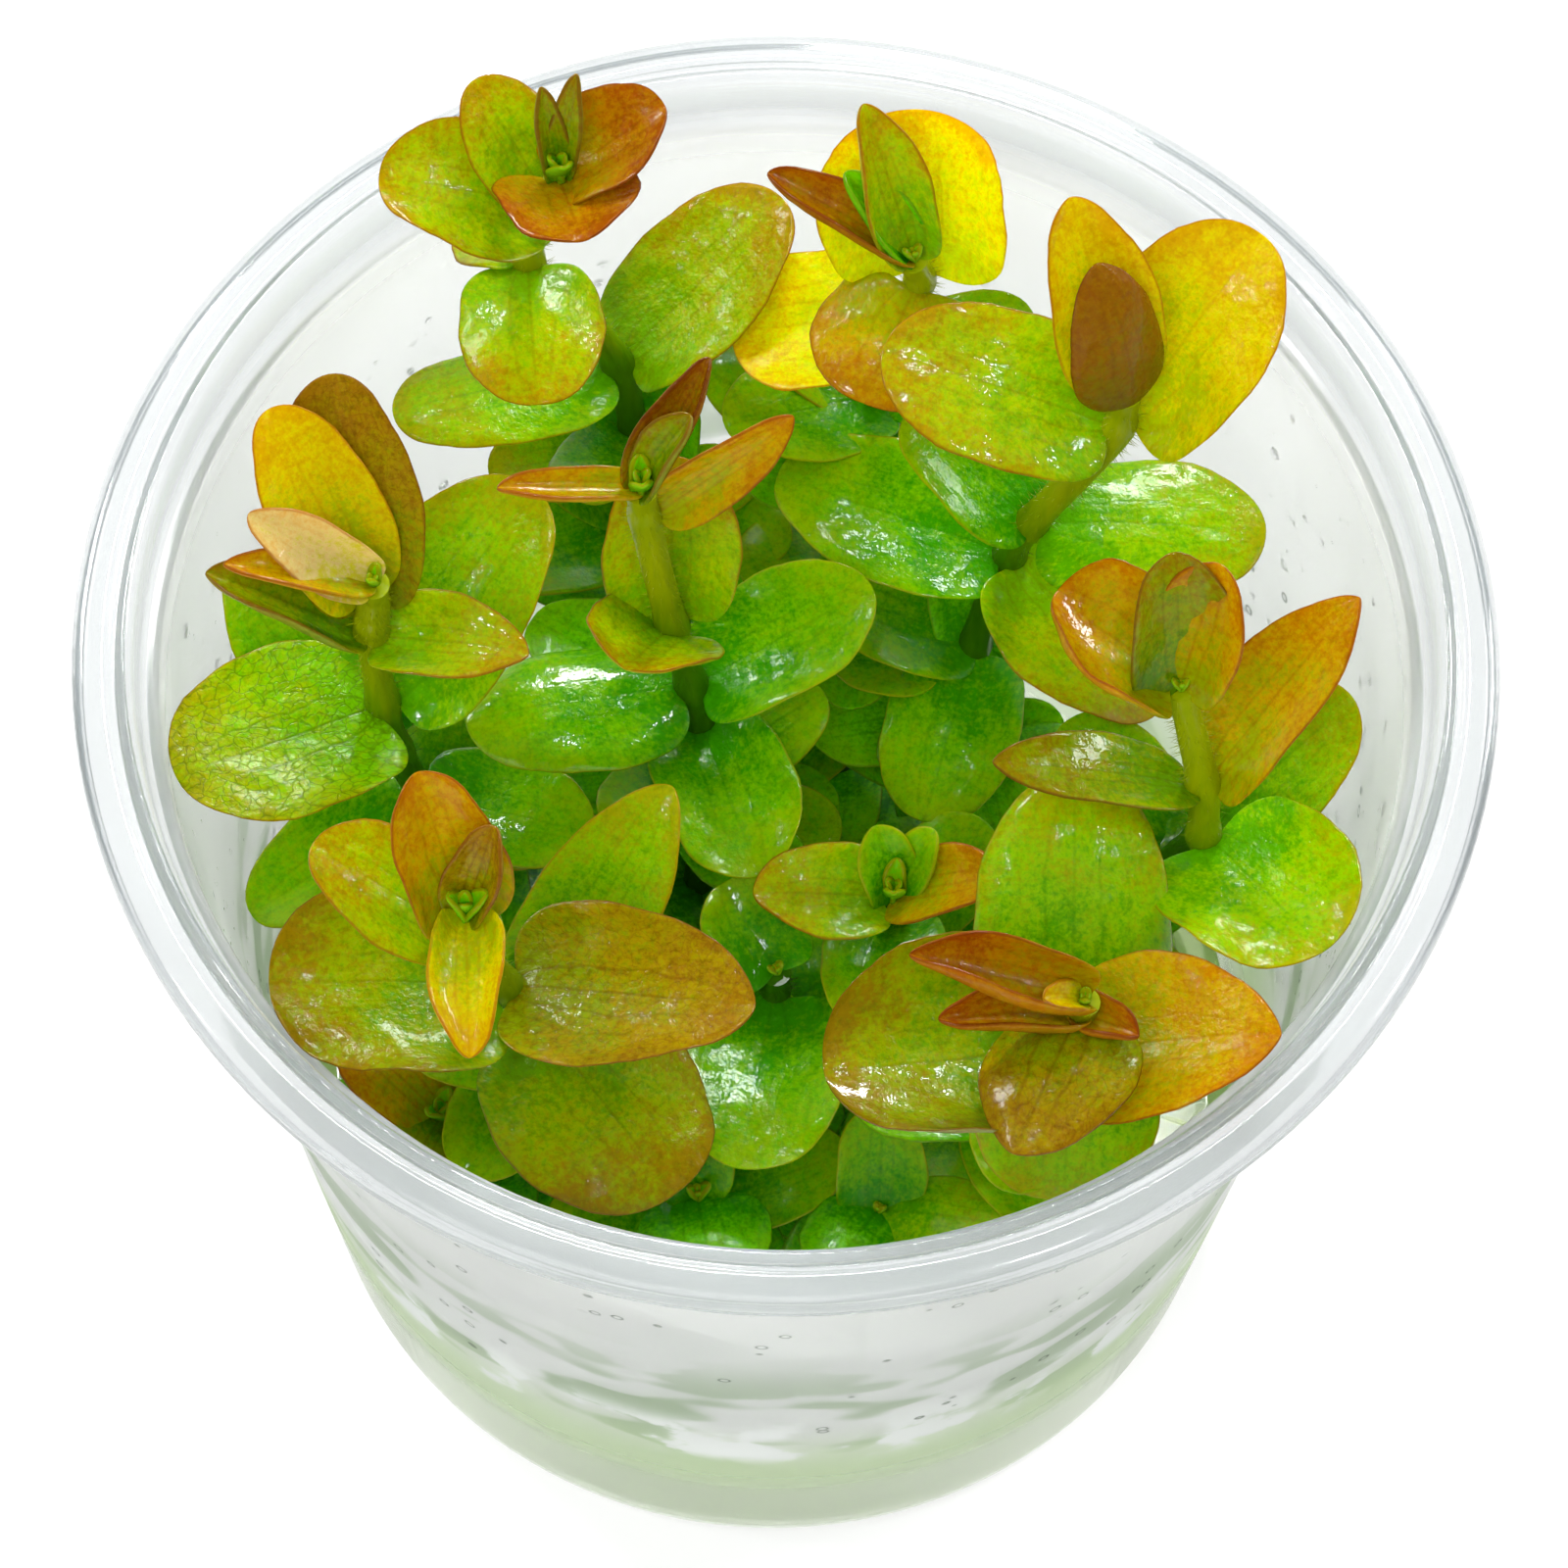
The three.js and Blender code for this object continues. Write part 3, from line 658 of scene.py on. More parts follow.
@dataclass(frozen=True)
class GelFinish:
    """Plant agar, poured hot and set in the cup: a soft pale gel, cloudy in swirls of 14 mm.

    The eye sees light come through it, and what lies behind it blurred.
    """

    name: str = "agar gel"
    tint: str = "#eef6d0"
    milk: str = "#c8e898"

    def build(self) -> bpy.types.Material:
        """Makes the material, slightly uneven as set gel is.

        Returns:
            The material.
        """
        material, tree = new_material(self.name)
        where = add_node(tree, "ShaderNodeTexCoord").outputs["Object"]
        swirls = add_node(tree, NOISE, None, {"Vector": where, "Scale": 70.0, "Detail": 2.0}).outputs[0]
        rough = add_node(tree, MATH, TIMES_PLUS, (swirls, 0.06, 0.02)).outputs[0]
        inputs = {
            "Base Color": linear(self.tint),
            "Roughness": rough,
            "IOR": 1.34,
            "Transmission Weight": 1.0,
        }
        clear = add_node(tree, "ShaderNodeBsdfPrincipled", None, inputs).outputs[0]
        milk = add_node(tree, "ShaderNodeBsdfTranslucent", None, (linear(self.milk),)).outputs[0]
        mixed = add_node(tree, "ShaderNodeMixShader", None, (0.25, clear, milk)).outputs[0]
        add_node(tree, "ShaderNodeOutputMaterial", None, (mixed,))
        return material


@dataclass(frozen=True)
class WaterFinish:
    """Water, condensed on the wall from damp air: clear and perfectly smooth.

    The eye sees one small bright glint in each drop.
    """

    name: str = "water"

    def build(self) -> bpy.types.Material:
        """Makes the material.

        Returns:
            The material.
        """
        material, tree = new_material(self.name)
        inputs = {"Base Color": (1, 1, 1, 1), "Roughness": 0.0, "IOR": 1.333, "Transmission Weight": 1.0}
        drop = add_node(tree, "ShaderNodeBsdfPrincipled", None, inputs).outputs[0]
        add_node(tree, "ShaderNodeOutputMaterial", None, (drop,))
        return material


@dataclass(frozen=True)
class RootFinish:
    """Young roots, grown through the gel: soft pale threads with a damp skin.

    The eye sees them faintly green where light reaches them, in stretches of about 3 mm.
    """

    name: str = "young root"
    pale: str = "#f4fc60"
    green: str = "#a0dc08"

    def build(self) -> bpy.types.Material:
        """Makes the material, with its colour changing along the threads.

        Returns:
            The material.
        """
        material, tree = new_material(self.name)
        where = add_node(tree, "ShaderNodeTexCoord").outputs["Object"]
        spots = add_node(tree, NOISE, None, {"Vector": where, "Scale": 300.0}).outputs[0]
        stops = [(0.35, self.pale), (0.65, self.green)]
        colour = set_stops(add_node(tree, "ShaderNodeValToRGB", None, (spots,)), stops)
        inputs = {"Base Color": colour, "Roughness": 0.4}
        skin = add_node(tree, "ShaderNodeBsdfPrincipled", None, inputs).outputs[0]
        through = add_node(tree, "ShaderNodeBsdfTranslucent", None, (colour,)).outputs[0]
        mixed = add_node(tree, "ShaderNodeMixShader", None, (0.4, skin, through)).outputs[0]
        add_node(tree, "ShaderNodeOutputMaterial", None, (mixed,))
        return material


@dataclass(frozen=True)
class BoardFinish:
    """White acrylic board, cast and sanded matt, and lit from within.

    The eye sees it even and bright, so that the floor melts into the surround.
    """

    name: str = "lit white board"
    tint: str = "#a4a4a4"
    glow: float = 0.62

    def build(self) -> bpy.types.Material:
        """Makes the material, with a faint grain.

        Returns:
            The material.
        """
        material, tree = new_material(self.name)
        grain = add_node(tree, NOISE, None, {"Scale": 40.0}).outputs[0]
        rough = add_node(tree, MATH, TIMES_PLUS, (grain, 0.1, 0.85)).outputs[0]
        inputs = {
            "Base Color": linear(self.tint),
            "Roughness": rough,
            "Emission Color": (1.0, 1.0, 1.0, 1.0),
            "Emission Strength": self.glow,
        }
        board = add_node(tree, "ShaderNodeBsdfPrincipled", None, inputs).outputs[0]
        add_node(tree, "ShaderNodeOutputMaterial", None, (board,))
        return material


@dataclass
class Leaf:
    """One leaf of a shoot.

    Azimuth 0 points along X and 90 along Y, and rise is above level. Roll turns the blade about its
    midrib, fold lifts its two halves, curl bends the midrib up and twist turns the tip against the base.
    Wet is its film of water, brim how far its margin turns up, in millimetres, and point how sharp its
    tip is, from 0 to 1.
    """

    name: str
    node: int
    azimuth: float
    rise: float
    length: float
    width: float
    tone: Tone
    roll: float = 0.0
    fold: float = 10.0
    curl: float = -10.0
    twist: float = 0.0
    wet: float = 0.35
    brim: float = 0.0
    point: float = 0.0

    def axes(self) -> tuple[np.ndarray, np.ndarray, np.ndarray]:
        """Returns the blade's forward, side and up directions.

        Returns:
            Three unit vectors.
        """
        azimuth = math.radians(self.azimuth)
        rise = math.radians(self.rise - self.curl / 2)
        forward = np.array(
            [math.cos(rise) * math.cos(azimuth), math.cos(rise) * math.sin(azimuth), math.sin(rise)]
        )
        level = Vector((-math.sin(azimuth), math.cos(azimuth), 0.0))
        side = np.array(Matrix.Rotation(math.radians(self.roll), 3, Vector(forward)) @ level)
        return forward, side, np.cross(forward, side)

    def half_width(self, u: np.ndarray) -> np.ndarray:
        """Returns half of the blade's width at the places u along it.

        Args:
            u: Places from base, 0, to tip, 1.

        Returns:
            Widths in millimetres.
        """
        bent = u**WIDEST_EXPONENT
        sharp = 0.5 * (1 + self.point)
        widest = 0.5 / (0.5 + sharp)
        most = math.sqrt(widest) * (1 - widest) ** sharp
        return self.width / 2 * (np.sqrt(bent) * np.clip(1 - bent, 0, None) ** sharp / most) ** FULLNESS

    def surface(self, u: np.ndarray, v: np.ndarray, face: np.ndarray, ripple: "Ripple") -> np.ndarray:
        """Finds points of the blade in its own axes.

        Args:
            u: Places from base, 0, to tip, 1.
            v: Places from one margin, -1, to the other, 1.
            face: Side of the blade, from -1 below to 1 above.
            ripple: The blade's own unevenness.

        Returns:
            Rows of distances forward, to the side and up, in millimetres.
        """
        curl = math.radians(self.curl) or 1e-4
        fold = math.radians(self.fold) or 1e-4
        twist = np.radians(self.twist) * u
        half = self.half_width(u) * ripple.outline(u, v)
        angle = 2 * fold * np.abs(v)
        edge = np.sqrt(2 * np.sqrt(np.clip(u * (1 - u), 0, None)))
        thick = BLADE_THICKNESS / 2 * face * edge + ripple.height(u, v) * self.width / 12
        thick = thick + self.brim * v**4 * np.clip(np.sin(math.pi * u), 0, None) ** 0.7
        out = np.sign(v) * (half * np.sin(angle) / (2 * fold) - thick * np.sin(angle))
        lift = half * (1 - np.cos(angle)) / (2 * fold) + thick * np.cos(angle)
        across = out * np.cos(twist) - lift * np.sin(twist)
        above = out * np.sin(twist) + lift * np.cos(twist)
        turned = curl * u
        lobe = LOBE * self.width * v * v * 4.2 * np.sqrt(u) * (1 - u) ** 3
        forward = self.length * np.sin(turned) / curl - above * np.sin(turned) - lobe
        return np.stack(
            [forward, across, self.length * (1 - np.cos(turned)) / curl + above * np.cos(turned)], 1
        )


@dataclass
class Ripple:
    """The unevenness that makes each blade its own: a wavy face and a slightly notched margin."""

    seed: int
    amount: float = 0.3

    def __post_init__(self) -> None:
        """Draws the phases from the seed."""
        shuffled = random.Random(self.seed)
        self.phases = [shuffled.uniform(0, 2 * math.pi) for _ in range(5)]

    def outline(self, u: np.ndarray, v: np.ndarray) -> np.ndarray:
        """Returns the share by which the half width changes at each place.

        Args:
            u: Places from base, 0, to tip, 1.
            v: Places from one margin, -1, to the other, 1.

        Returns:
            Factors close to 1.
        """
        one, two, three = self.phases[:3]
        wide = 0.02 * np.sin(2 * math.pi * 1.6 * u + one + np.sign(v))
        notches = 0.006 * np.sin(2 * math.pi * 11 * u + two + 2 * np.sign(v)) * np.clip(u * 2 - 0.6, 0, 1)
        return 1 + (wide + notches + 0.008 * np.sin(2 * math.pi * 4.3 * u + three)) * np.abs(v)

    def height(self, u: np.ndarray, v: np.ndarray) -> np.ndarray:
        """Returns the blade's rise off its smooth shape at each place, in millimetres.

        Args:
            u: Places from base, 0, to tip, 1.
            v: Places from one margin, -1, to the other, 1.

        Returns:
            Heights in millimetres for a blade of middling width.
        """
        one, two, three = self.phases[2:]
        wave = v * v * np.sin(2 * math.pi * 1.3 * u + one + 1.2 * np.sign(v))
        broad = 0.6 * np.sin(2 * math.pi * 0.9 * u + two + 1.5 * v)
        quilt = 0.25 * np.sin(2 * math.pi * 3.1 * u + three) * np.cos(2 * math.pi * v / (2 * VEIN_STEP))
        midrib = -0.5 * np.exp(-((v / 0.08) ** 2)) * np.sqrt(np.clip(1 - u, 0, 1))
        ends = np.clip(u * (1 - u) * 8, 0, 1)
        return self.amount * (wave + broad + quilt + midrib) * ends


class Foliage:
    """Collects blades, and turns them into one mesh with their marks and finishes."""

    def __init__(self) -> None:
        """Starts empty."""
        self.points: list[np.ndarray] = []
        self.marks: list[np.ndarray] = []
        self.spans: list[np.ndarray] = []
        self.films: list[float] = []
        self.faces: list[list[int]] = []
        self.tones: list[Tone] = []
        self.worn: list[int] = []
        self.count = 0

    def add(self, leaf: Leaf, origin: np.ndarray, seed: int, net: tuple[int, int]) -> None:
        """Adds one leaf.

        Args:
            leaf: The leaf.
            origin: Where it starts, in millimetres.
            seed: Its own seed.
            net: Rings along the blade, and points across each face of it.
        """
        rows, columns = net
        u, v, face = self._section(rows, columns)
        forward, side, up = leaf.axes()
        local = leaf.surface(u, v, face, Ripple(seed))
        self.points.append(origin + local @ np.stack([forward, side, up]))
        half = leaf.half_width(u)
        offset = seed * PATTERN_STEP
        self.marks.append(np.stack([u, v, face], 1))
        self.spans.append(np.stack([u * leaf.length + offset, v * half + offset, half], 1))
        self.films += [leaf.wet] * len(u)
        if leaf.tone not in self.tones:
            self.tones.append(leaf.tone)
        faces = self._faces(rows, 2 * columns, self.count)
        self.faces += faces
        self.worn += [self.tones.index(leaf.tone)] * len(faces)
        self.count += len(u)

    @staticmethod
    def _section(rows: int, columns: int) -> tuple[np.ndarray, np.ndarray, np.ndarray]:
        """Returns u, v and face of each point: the base, rings of points round the blade, and the tip.

        Args:
            rows: Rings along the blade.
            columns: Points across each face of it.

        Returns:
            The three rows of numbers, each as long as the blade has points.
        """
        along = (1 - np.cos(math.pi * np.arange(1, rows) / rows)) / 2
        turn = math.pi * np.arange(2 * columns) / columns
        v = np.cos(turn)
        face = np.sign(np.round(np.sin(turn), 6)) * np.sqrt(np.clip(1 - np.abs(v) ** 7, 0, None))
        u = np.concatenate([[0.0], np.repeat(along, len(turn)), [1.0]])
        v = np.concatenate([[0.0], np.tile(v, rows - 1), [0.0]])
        face = np.concatenate([[0.0], np.tile(face, rows - 1), [0.0]])
        return u, v, face

    @staticmethod
    def _faces(rows: int, around: int, first: int) -> list[list[int]]:
        """Returns the faces of one closed blade, facing out.

        Args:
            rows: Rings along the blade, with its tip.
            around: Points in each ring.
            first: The number of the blade's first point.

        Returns:
            The point numbers of each face.
        """
        faces = []
        for j in range(around):
            nxt = (j + 1) % around
            faces.append([first, first + 1 + nxt, first + 1 + j])
            for i in range(rows - 2):
                low = first + 1 + i * around
                high = low + around
                faces.append([low + j, low + nxt, high + nxt, high + j])
            last = first + 1 + (rows - 2) * around
            faces.append([last + j, last + nxt, first + 1 + (rows - 1) * around])
        return faces

    def build(self, name: str, wardrobe: "Wardrobe") -> bpy.types.Object:
        """Makes the object.

        Args:
            name: The piece's name.
            wardrobe: The materials.

        Returns:
            The new object.
        """
        points = np.concatenate(self.points) * MM
        mesh = bpy.data.meshes.new(name)
        mesh.from_pydata(points.tolist(), [], self.faces)
        for title, rows in (("blade", self.marks), ("span", self.spans)):
            layer = mesh.attributes.new(title, "FLOAT_VECTOR", "POINT")
            layer.data.foreach_set("vector", np.concatenate(rows).astype(np.float32).ravel())
        mesh.attributes.new("wet", "FLOAT", "POINT").data.foreach_set("value", self.films)
        for tone in self.tones:
            mesh.materials.append(wardrobe.leaf(tone))
        mesh.polygons.foreach_set("material_index", self.worn)
        mesh.polygons.foreach_set("use_smooth", [True] * len(mesh.polygons))
        mesh.update()
        return place(name, mesh)


class Wardrobe:
    """Makes each material once."""

    def __init__(self) -> None:
        """Makes the materials that every scene has."""
        self.leaves: dict[Tone, bpy.types.Material] = {}
        self.stem = StemFinish().build()
        self.cup = CupFinish().build()
        self.gel = GelFinish().build()
        self.water = WaterFinish().build()
        self.root = RootFinish().build()

    def leaf(self, tone: Tone) -> bpy.types.Material:
        """Returns the material of a leaf tone.

        Args:
            tone: The leaf's tone.

        Returns:
            The material.
        """
        if tone not in self.leaves:
            self.leaves[tone] = tone.value.build()
        return self.leaves[tone]


def place(name: str, mesh: bpy.types.Mesh) -> bpy.types.Object:
    """Puts a mesh into the scene, at the origin.

    Args:
        name: The object's name.
        mesh: Its mesh.

    Returns:
        The new object.
    """
    item = bpy.data.objects.new(name, mesh)
    bpy.context.scene.collection.objects.link(item)
    return item


def slot_of(node: str) -> str:
    """Returns the record's material slot of a CAD node."""
    rows = frame["record"]["subparts"]
    return next(row["material_slot"] for row in rows if row["node"] == node)


def settle(piece: bpy.types.Object, slot: str, *nodes: str) -> None:
    """Lets a piece ride on the body, and stand for its nodes.

    Args:
        piece: The finished piece.
        slot: The record's material slot; not used.
        nodes: The CAD nodes that it replaces.
    """
    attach(piece, BODY)
    if nodes:
        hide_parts(*nodes)
    LOG.info("%s: %d faces", piece.name, len(piece.data.polygons))


class Recipe:
    """A Geometry Nodes tree with named inputs, which turns a guide mesh into a finished one."""

    def __init__(self, name: str, sizes: dict[str, str]) -> None:
        """Starts the tree.

        Args:
            name: The tree's name.
            sizes: The socket type of each named input.
        """
        self.tree = bpy.data.node_groups.new(name, "GeometryNodeTree")
        face = self.tree.interface
        face.new_socket("Guide", in_out="INPUT", socket_type="NodeSocketGeometry")
        for title, kind in sizes.items():
            face.new_socket(title, in_out="INPUT", socket_type=kind)
        face.new_socket("Material", in_out="INPUT", socket_type="NodeSocketMaterial")
        face.new_socket("Result", in_out="OUTPUT", socket_type="NodeSocketGeometry")
        self.source = self.add("NodeGroupInput").outputs

    def add(self, kind: str, settings: dict | None = None, inputs: dict | tuple = ()) -> bpy.types.Node:
        """Adds a node to the tree."""
        return add_node(self.tree, kind, settings, inputs)

    def close(self, result: bpy.types.NodeSocket) -> None:
        """Ends the tree in real, smooth geometry that wears its material.

        Args:
            result: The socket of the tree's geometry.
        """
        real = self.add("GeometryNodeRealizeInstances", None, {0: result})
        smooth = self.add("GeometryNodeSetShadeSmooth", None, {0: real.outputs[0]})
        inputs = {"Geometry": smooth.outputs[0], "Material": self.source["Material"]}
        worn = self.add("GeometryNodeSetMaterial", None, inputs)
        self.add("NodeGroupOutput", None, {0: worn.outputs[0]})

    def apply(self, guide: bpy.types.Object, values: dict[str, object]) -> bpy.types.Object:
        """Runs the tree on a guide and keeps the result as the guide's plain mesh.

        Args:
            guide: The object that holds the guide mesh.
            values: The named inputs' values.

        Returns:
            The same object, with its new mesh and no modifier.
        """
        modifier = guide.modifiers.new("recipe", "NODES")
        modifier.node_group = self.tree
        for item in self.tree.interface.items_tree:
            if item.in_out == "INPUT" and item.name in values:
                modifier[item.identifier] = values[item.name]
        graph = bpy.context.evaluated_depsgraph_get()
        mesh = bpy.data.meshes.new_from_object(guide.evaluated_get(graph))
        guide.modifiers.clear()
        guide.data = mesh
        mesh.name = guide.name
        return guide


class TubeRecipe(Recipe):
    """Sweeps a round section along each guide line, and grows short hairs on its skin."""

    def __init__(self) -> None:
        """Builds the tree: girth is the section's radius, and hair the share of hairs there."""
        sizes = {
            "Sides": "NodeSocketInt",
            "Hair density": "NodeSocketFloat",
            "Hair length": "NodeSocketFloat",
            "Hair radius": "NodeSocketFloat",
            "Seed": "NodeSocketInt",
        }
        super().__init__("swept stem", sizes)
        line = self.add("GeometryNodeMeshToCurve", None, {0: self.source["Guide"]})
        girth = self.add("GeometryNodeInputNamedAttribute", {"data_type": "FLOAT"}, {"Name": "girth"})
        sized = self.add(
            "GeometryNodeSetCurveRadius",
            None,
            {"Curve": line.outputs[0], "Radius": girth.outputs["Attribute"]},
        )
        section = self.add(
            "GeometryNodeCurvePrimitiveCircle", None, {"Resolution": self.source["Sides"], "Radius": 1.0}
        )
        sweep = {"Curve": sized.outputs[0], "Profile Curve": section.outputs[0], "Fill Caps": True}
        tube = self.add("GeometryNodeCurveToMesh", None, sweep)
        if "Scale" in tube.inputs:
            self.tree.links.new(girth.outputs["Attribute"], tube.inputs["Scale"])
        hair = self.add("GeometryNodeInputNamedAttribute", {"data_type": "FLOAT"}, {"Name": "hair"})
        shares = (hair.outputs["Attribute"], self.source["Hair density"])
        density = self.add(MATH, TIMES, shares)
        spots = self.add(
            "GeometryNodeDistributePointsOnFaces",
            None,
            {"Mesh": tube.outputs[0], "Density": density.outputs[0], "Seed": self.source["Seed"]},
        )
        spike = self.add(
            "GeometryNodeMeshCone",
            {"fill_type": "NONE"},
            {
                "Vertices": 3,
                "Radius Top": 0.0,
                "Radius Bottom": self.source["Hair radius"],
                "Depth": self.source["Hair length"],
            },
        )
        hairs = self.add(
            "GeometryNodeInstanceOnPoints",
            None,
            {
                "Points": spots.outputs["Points"],
                "Instance": spike.outputs[0],
                "Rotation": spots.outputs["Rotation"],
            },
        )
        joined = self.add("GeometryNodeJoinGeometry")
        self.tree.links.new(tube.outputs[0], joined.inputs[0])
        self.tree.links.new(hairs.outputs[0], joined.inputs[0])
        self.close(joined.outputs[0])


class DropRecipe(Recipe):
    """Scatters flattened drops over a guide surface."""

    def __init__(self) -> None:
        """Builds the tree. The guide's damp attribute is the local share of drops."""
        sizes = {
            "Density": "NodeSocketFloat",
            "Smallest": "NodeSocketFloat",
            "Largest": "NodeSocketFloat",
            "Seed": "NodeSocketInt",
        }
        super().__init__("scattered drops", sizes)
        damp = self.add("GeometryNodeInputNamedAttribute", {"data_type": "FLOAT"}, {"Name": "damp"})
        shares = (damp.outputs["Attribute"], self.source["Density"])
        density = self.add(MATH, TIMES, shares)
        spots = self.add(
            "GeometryNodeDistributePointsOnFaces",
            None,
            {"Mesh": self.source["Guide"], "Density": density.outputs[0], "Seed": self.source["Seed"]},
        )
        drop = self.add("GeometryNodeMeshUVSphere", None, {"Segments": 8, "Rings": 5, "Radius": 1.0})
        chance = self.add(
            "FunctionNodeRandomValue", {"data_type": "FLOAT"}, {2: 0.0, 3: 1.0, "Seed": self.source["Seed"]}
        )
        rare = self.add(MATH, {"operation": "POWER"}, (chance.outputs[1], 3.0))
        limits = {"To Min": self.source["Smallest"], "To Max": self.source["Largest"]}
        size = self.add(RANGE, None, {"Value": rare.outputs[0], **limits})
        flattened = {0: (1.0, 1.0, 0.45), "Scale": size.outputs["Result"]}
        scale = self.add(VECTOR, {"operation": "SCALE"}, flattened)
        drops = self.add(
            "GeometryNodeInstanceOnPoints",
            None,
            {
                "Points": spots.outputs["Points"],
                "Instance": drop.outputs[0],
                "Rotation": spots.outputs["Rotation"],
                "Scale": scale.outputs[0],
            },
        )
        self.close(drops.outputs[0])


def guide_lines(name: str, lines: list[np.ndarray], marks: dict[str, list[float]]) -> bpy.types.Object:
    """Makes the guide of a sweep: open lines of points, with a value of each mark at every point.

    Args:
        name: The object's name.
        lines: Rows of points in millimetres.
        marks: Values in the order of the points, by the attribute's name.

    Returns:
        The object that holds the lines.
    """
    edges = []
    first = 0
    for line in lines:
        edges += [(first + i, first + i + 1) for i in range(len(line) - 1)]
        first += len(line)
    mesh = bpy.data.meshes.new(name)
    mesh.from_pydata((np.concatenate(lines) * MM).tolist(), edges, [])
    for title, values in marks.items():
        mesh.attributes.new(title, "FLOAT", "POINT").data.foreach_set("value", values)
    return place(name, mesh)


def smooth_path(points: list[tuple[float, float, float]], steps: int) -> np.ndarray:
    """Draws a smooth curve through points, as the solid model's stems do.

    Args:
        points: The points that it passes through.
        steps: Pieces of curve between two points.

    Returns:
        Rows of points along the curve.
    """
    knots = [np.array(p, float) for p in points]
    knots = [2 * knots[0] - knots[1], *knots, 2 * knots[-1] - knots[-2]]
    rows = []
    for before, start, end, after in zip(knots, knots[1:], knots[2:], knots[3:]):
        gaps = [
            max(np.linalg.norm(b - a) ** 0.5, 1e-4) for a, b in ((before, start), (start, end), (end, after))
        ]
        leave = (start - before) / gaps[0] - (end - before) / (gaps[0] + gaps[1]) + (end - start) / gaps[1]
        reach = (end - start) / gaps[1] - (after - start) / (gaps[1] + gaps[2]) + (after - end) / gaps[2]
        leave, reach = leave * gaps[1], reach * gaps[1]
        for t in np.arange(steps) / steps:
            cubic = 2 * start - 2 * end + leave + reach
            square = -3 * start + 3 * end - 2 * leave - reach
            rows.append(cubic * t**3 + square * t**2 + leave * t + start)
    rows.append(knots[-2])
    return np.array(rows)


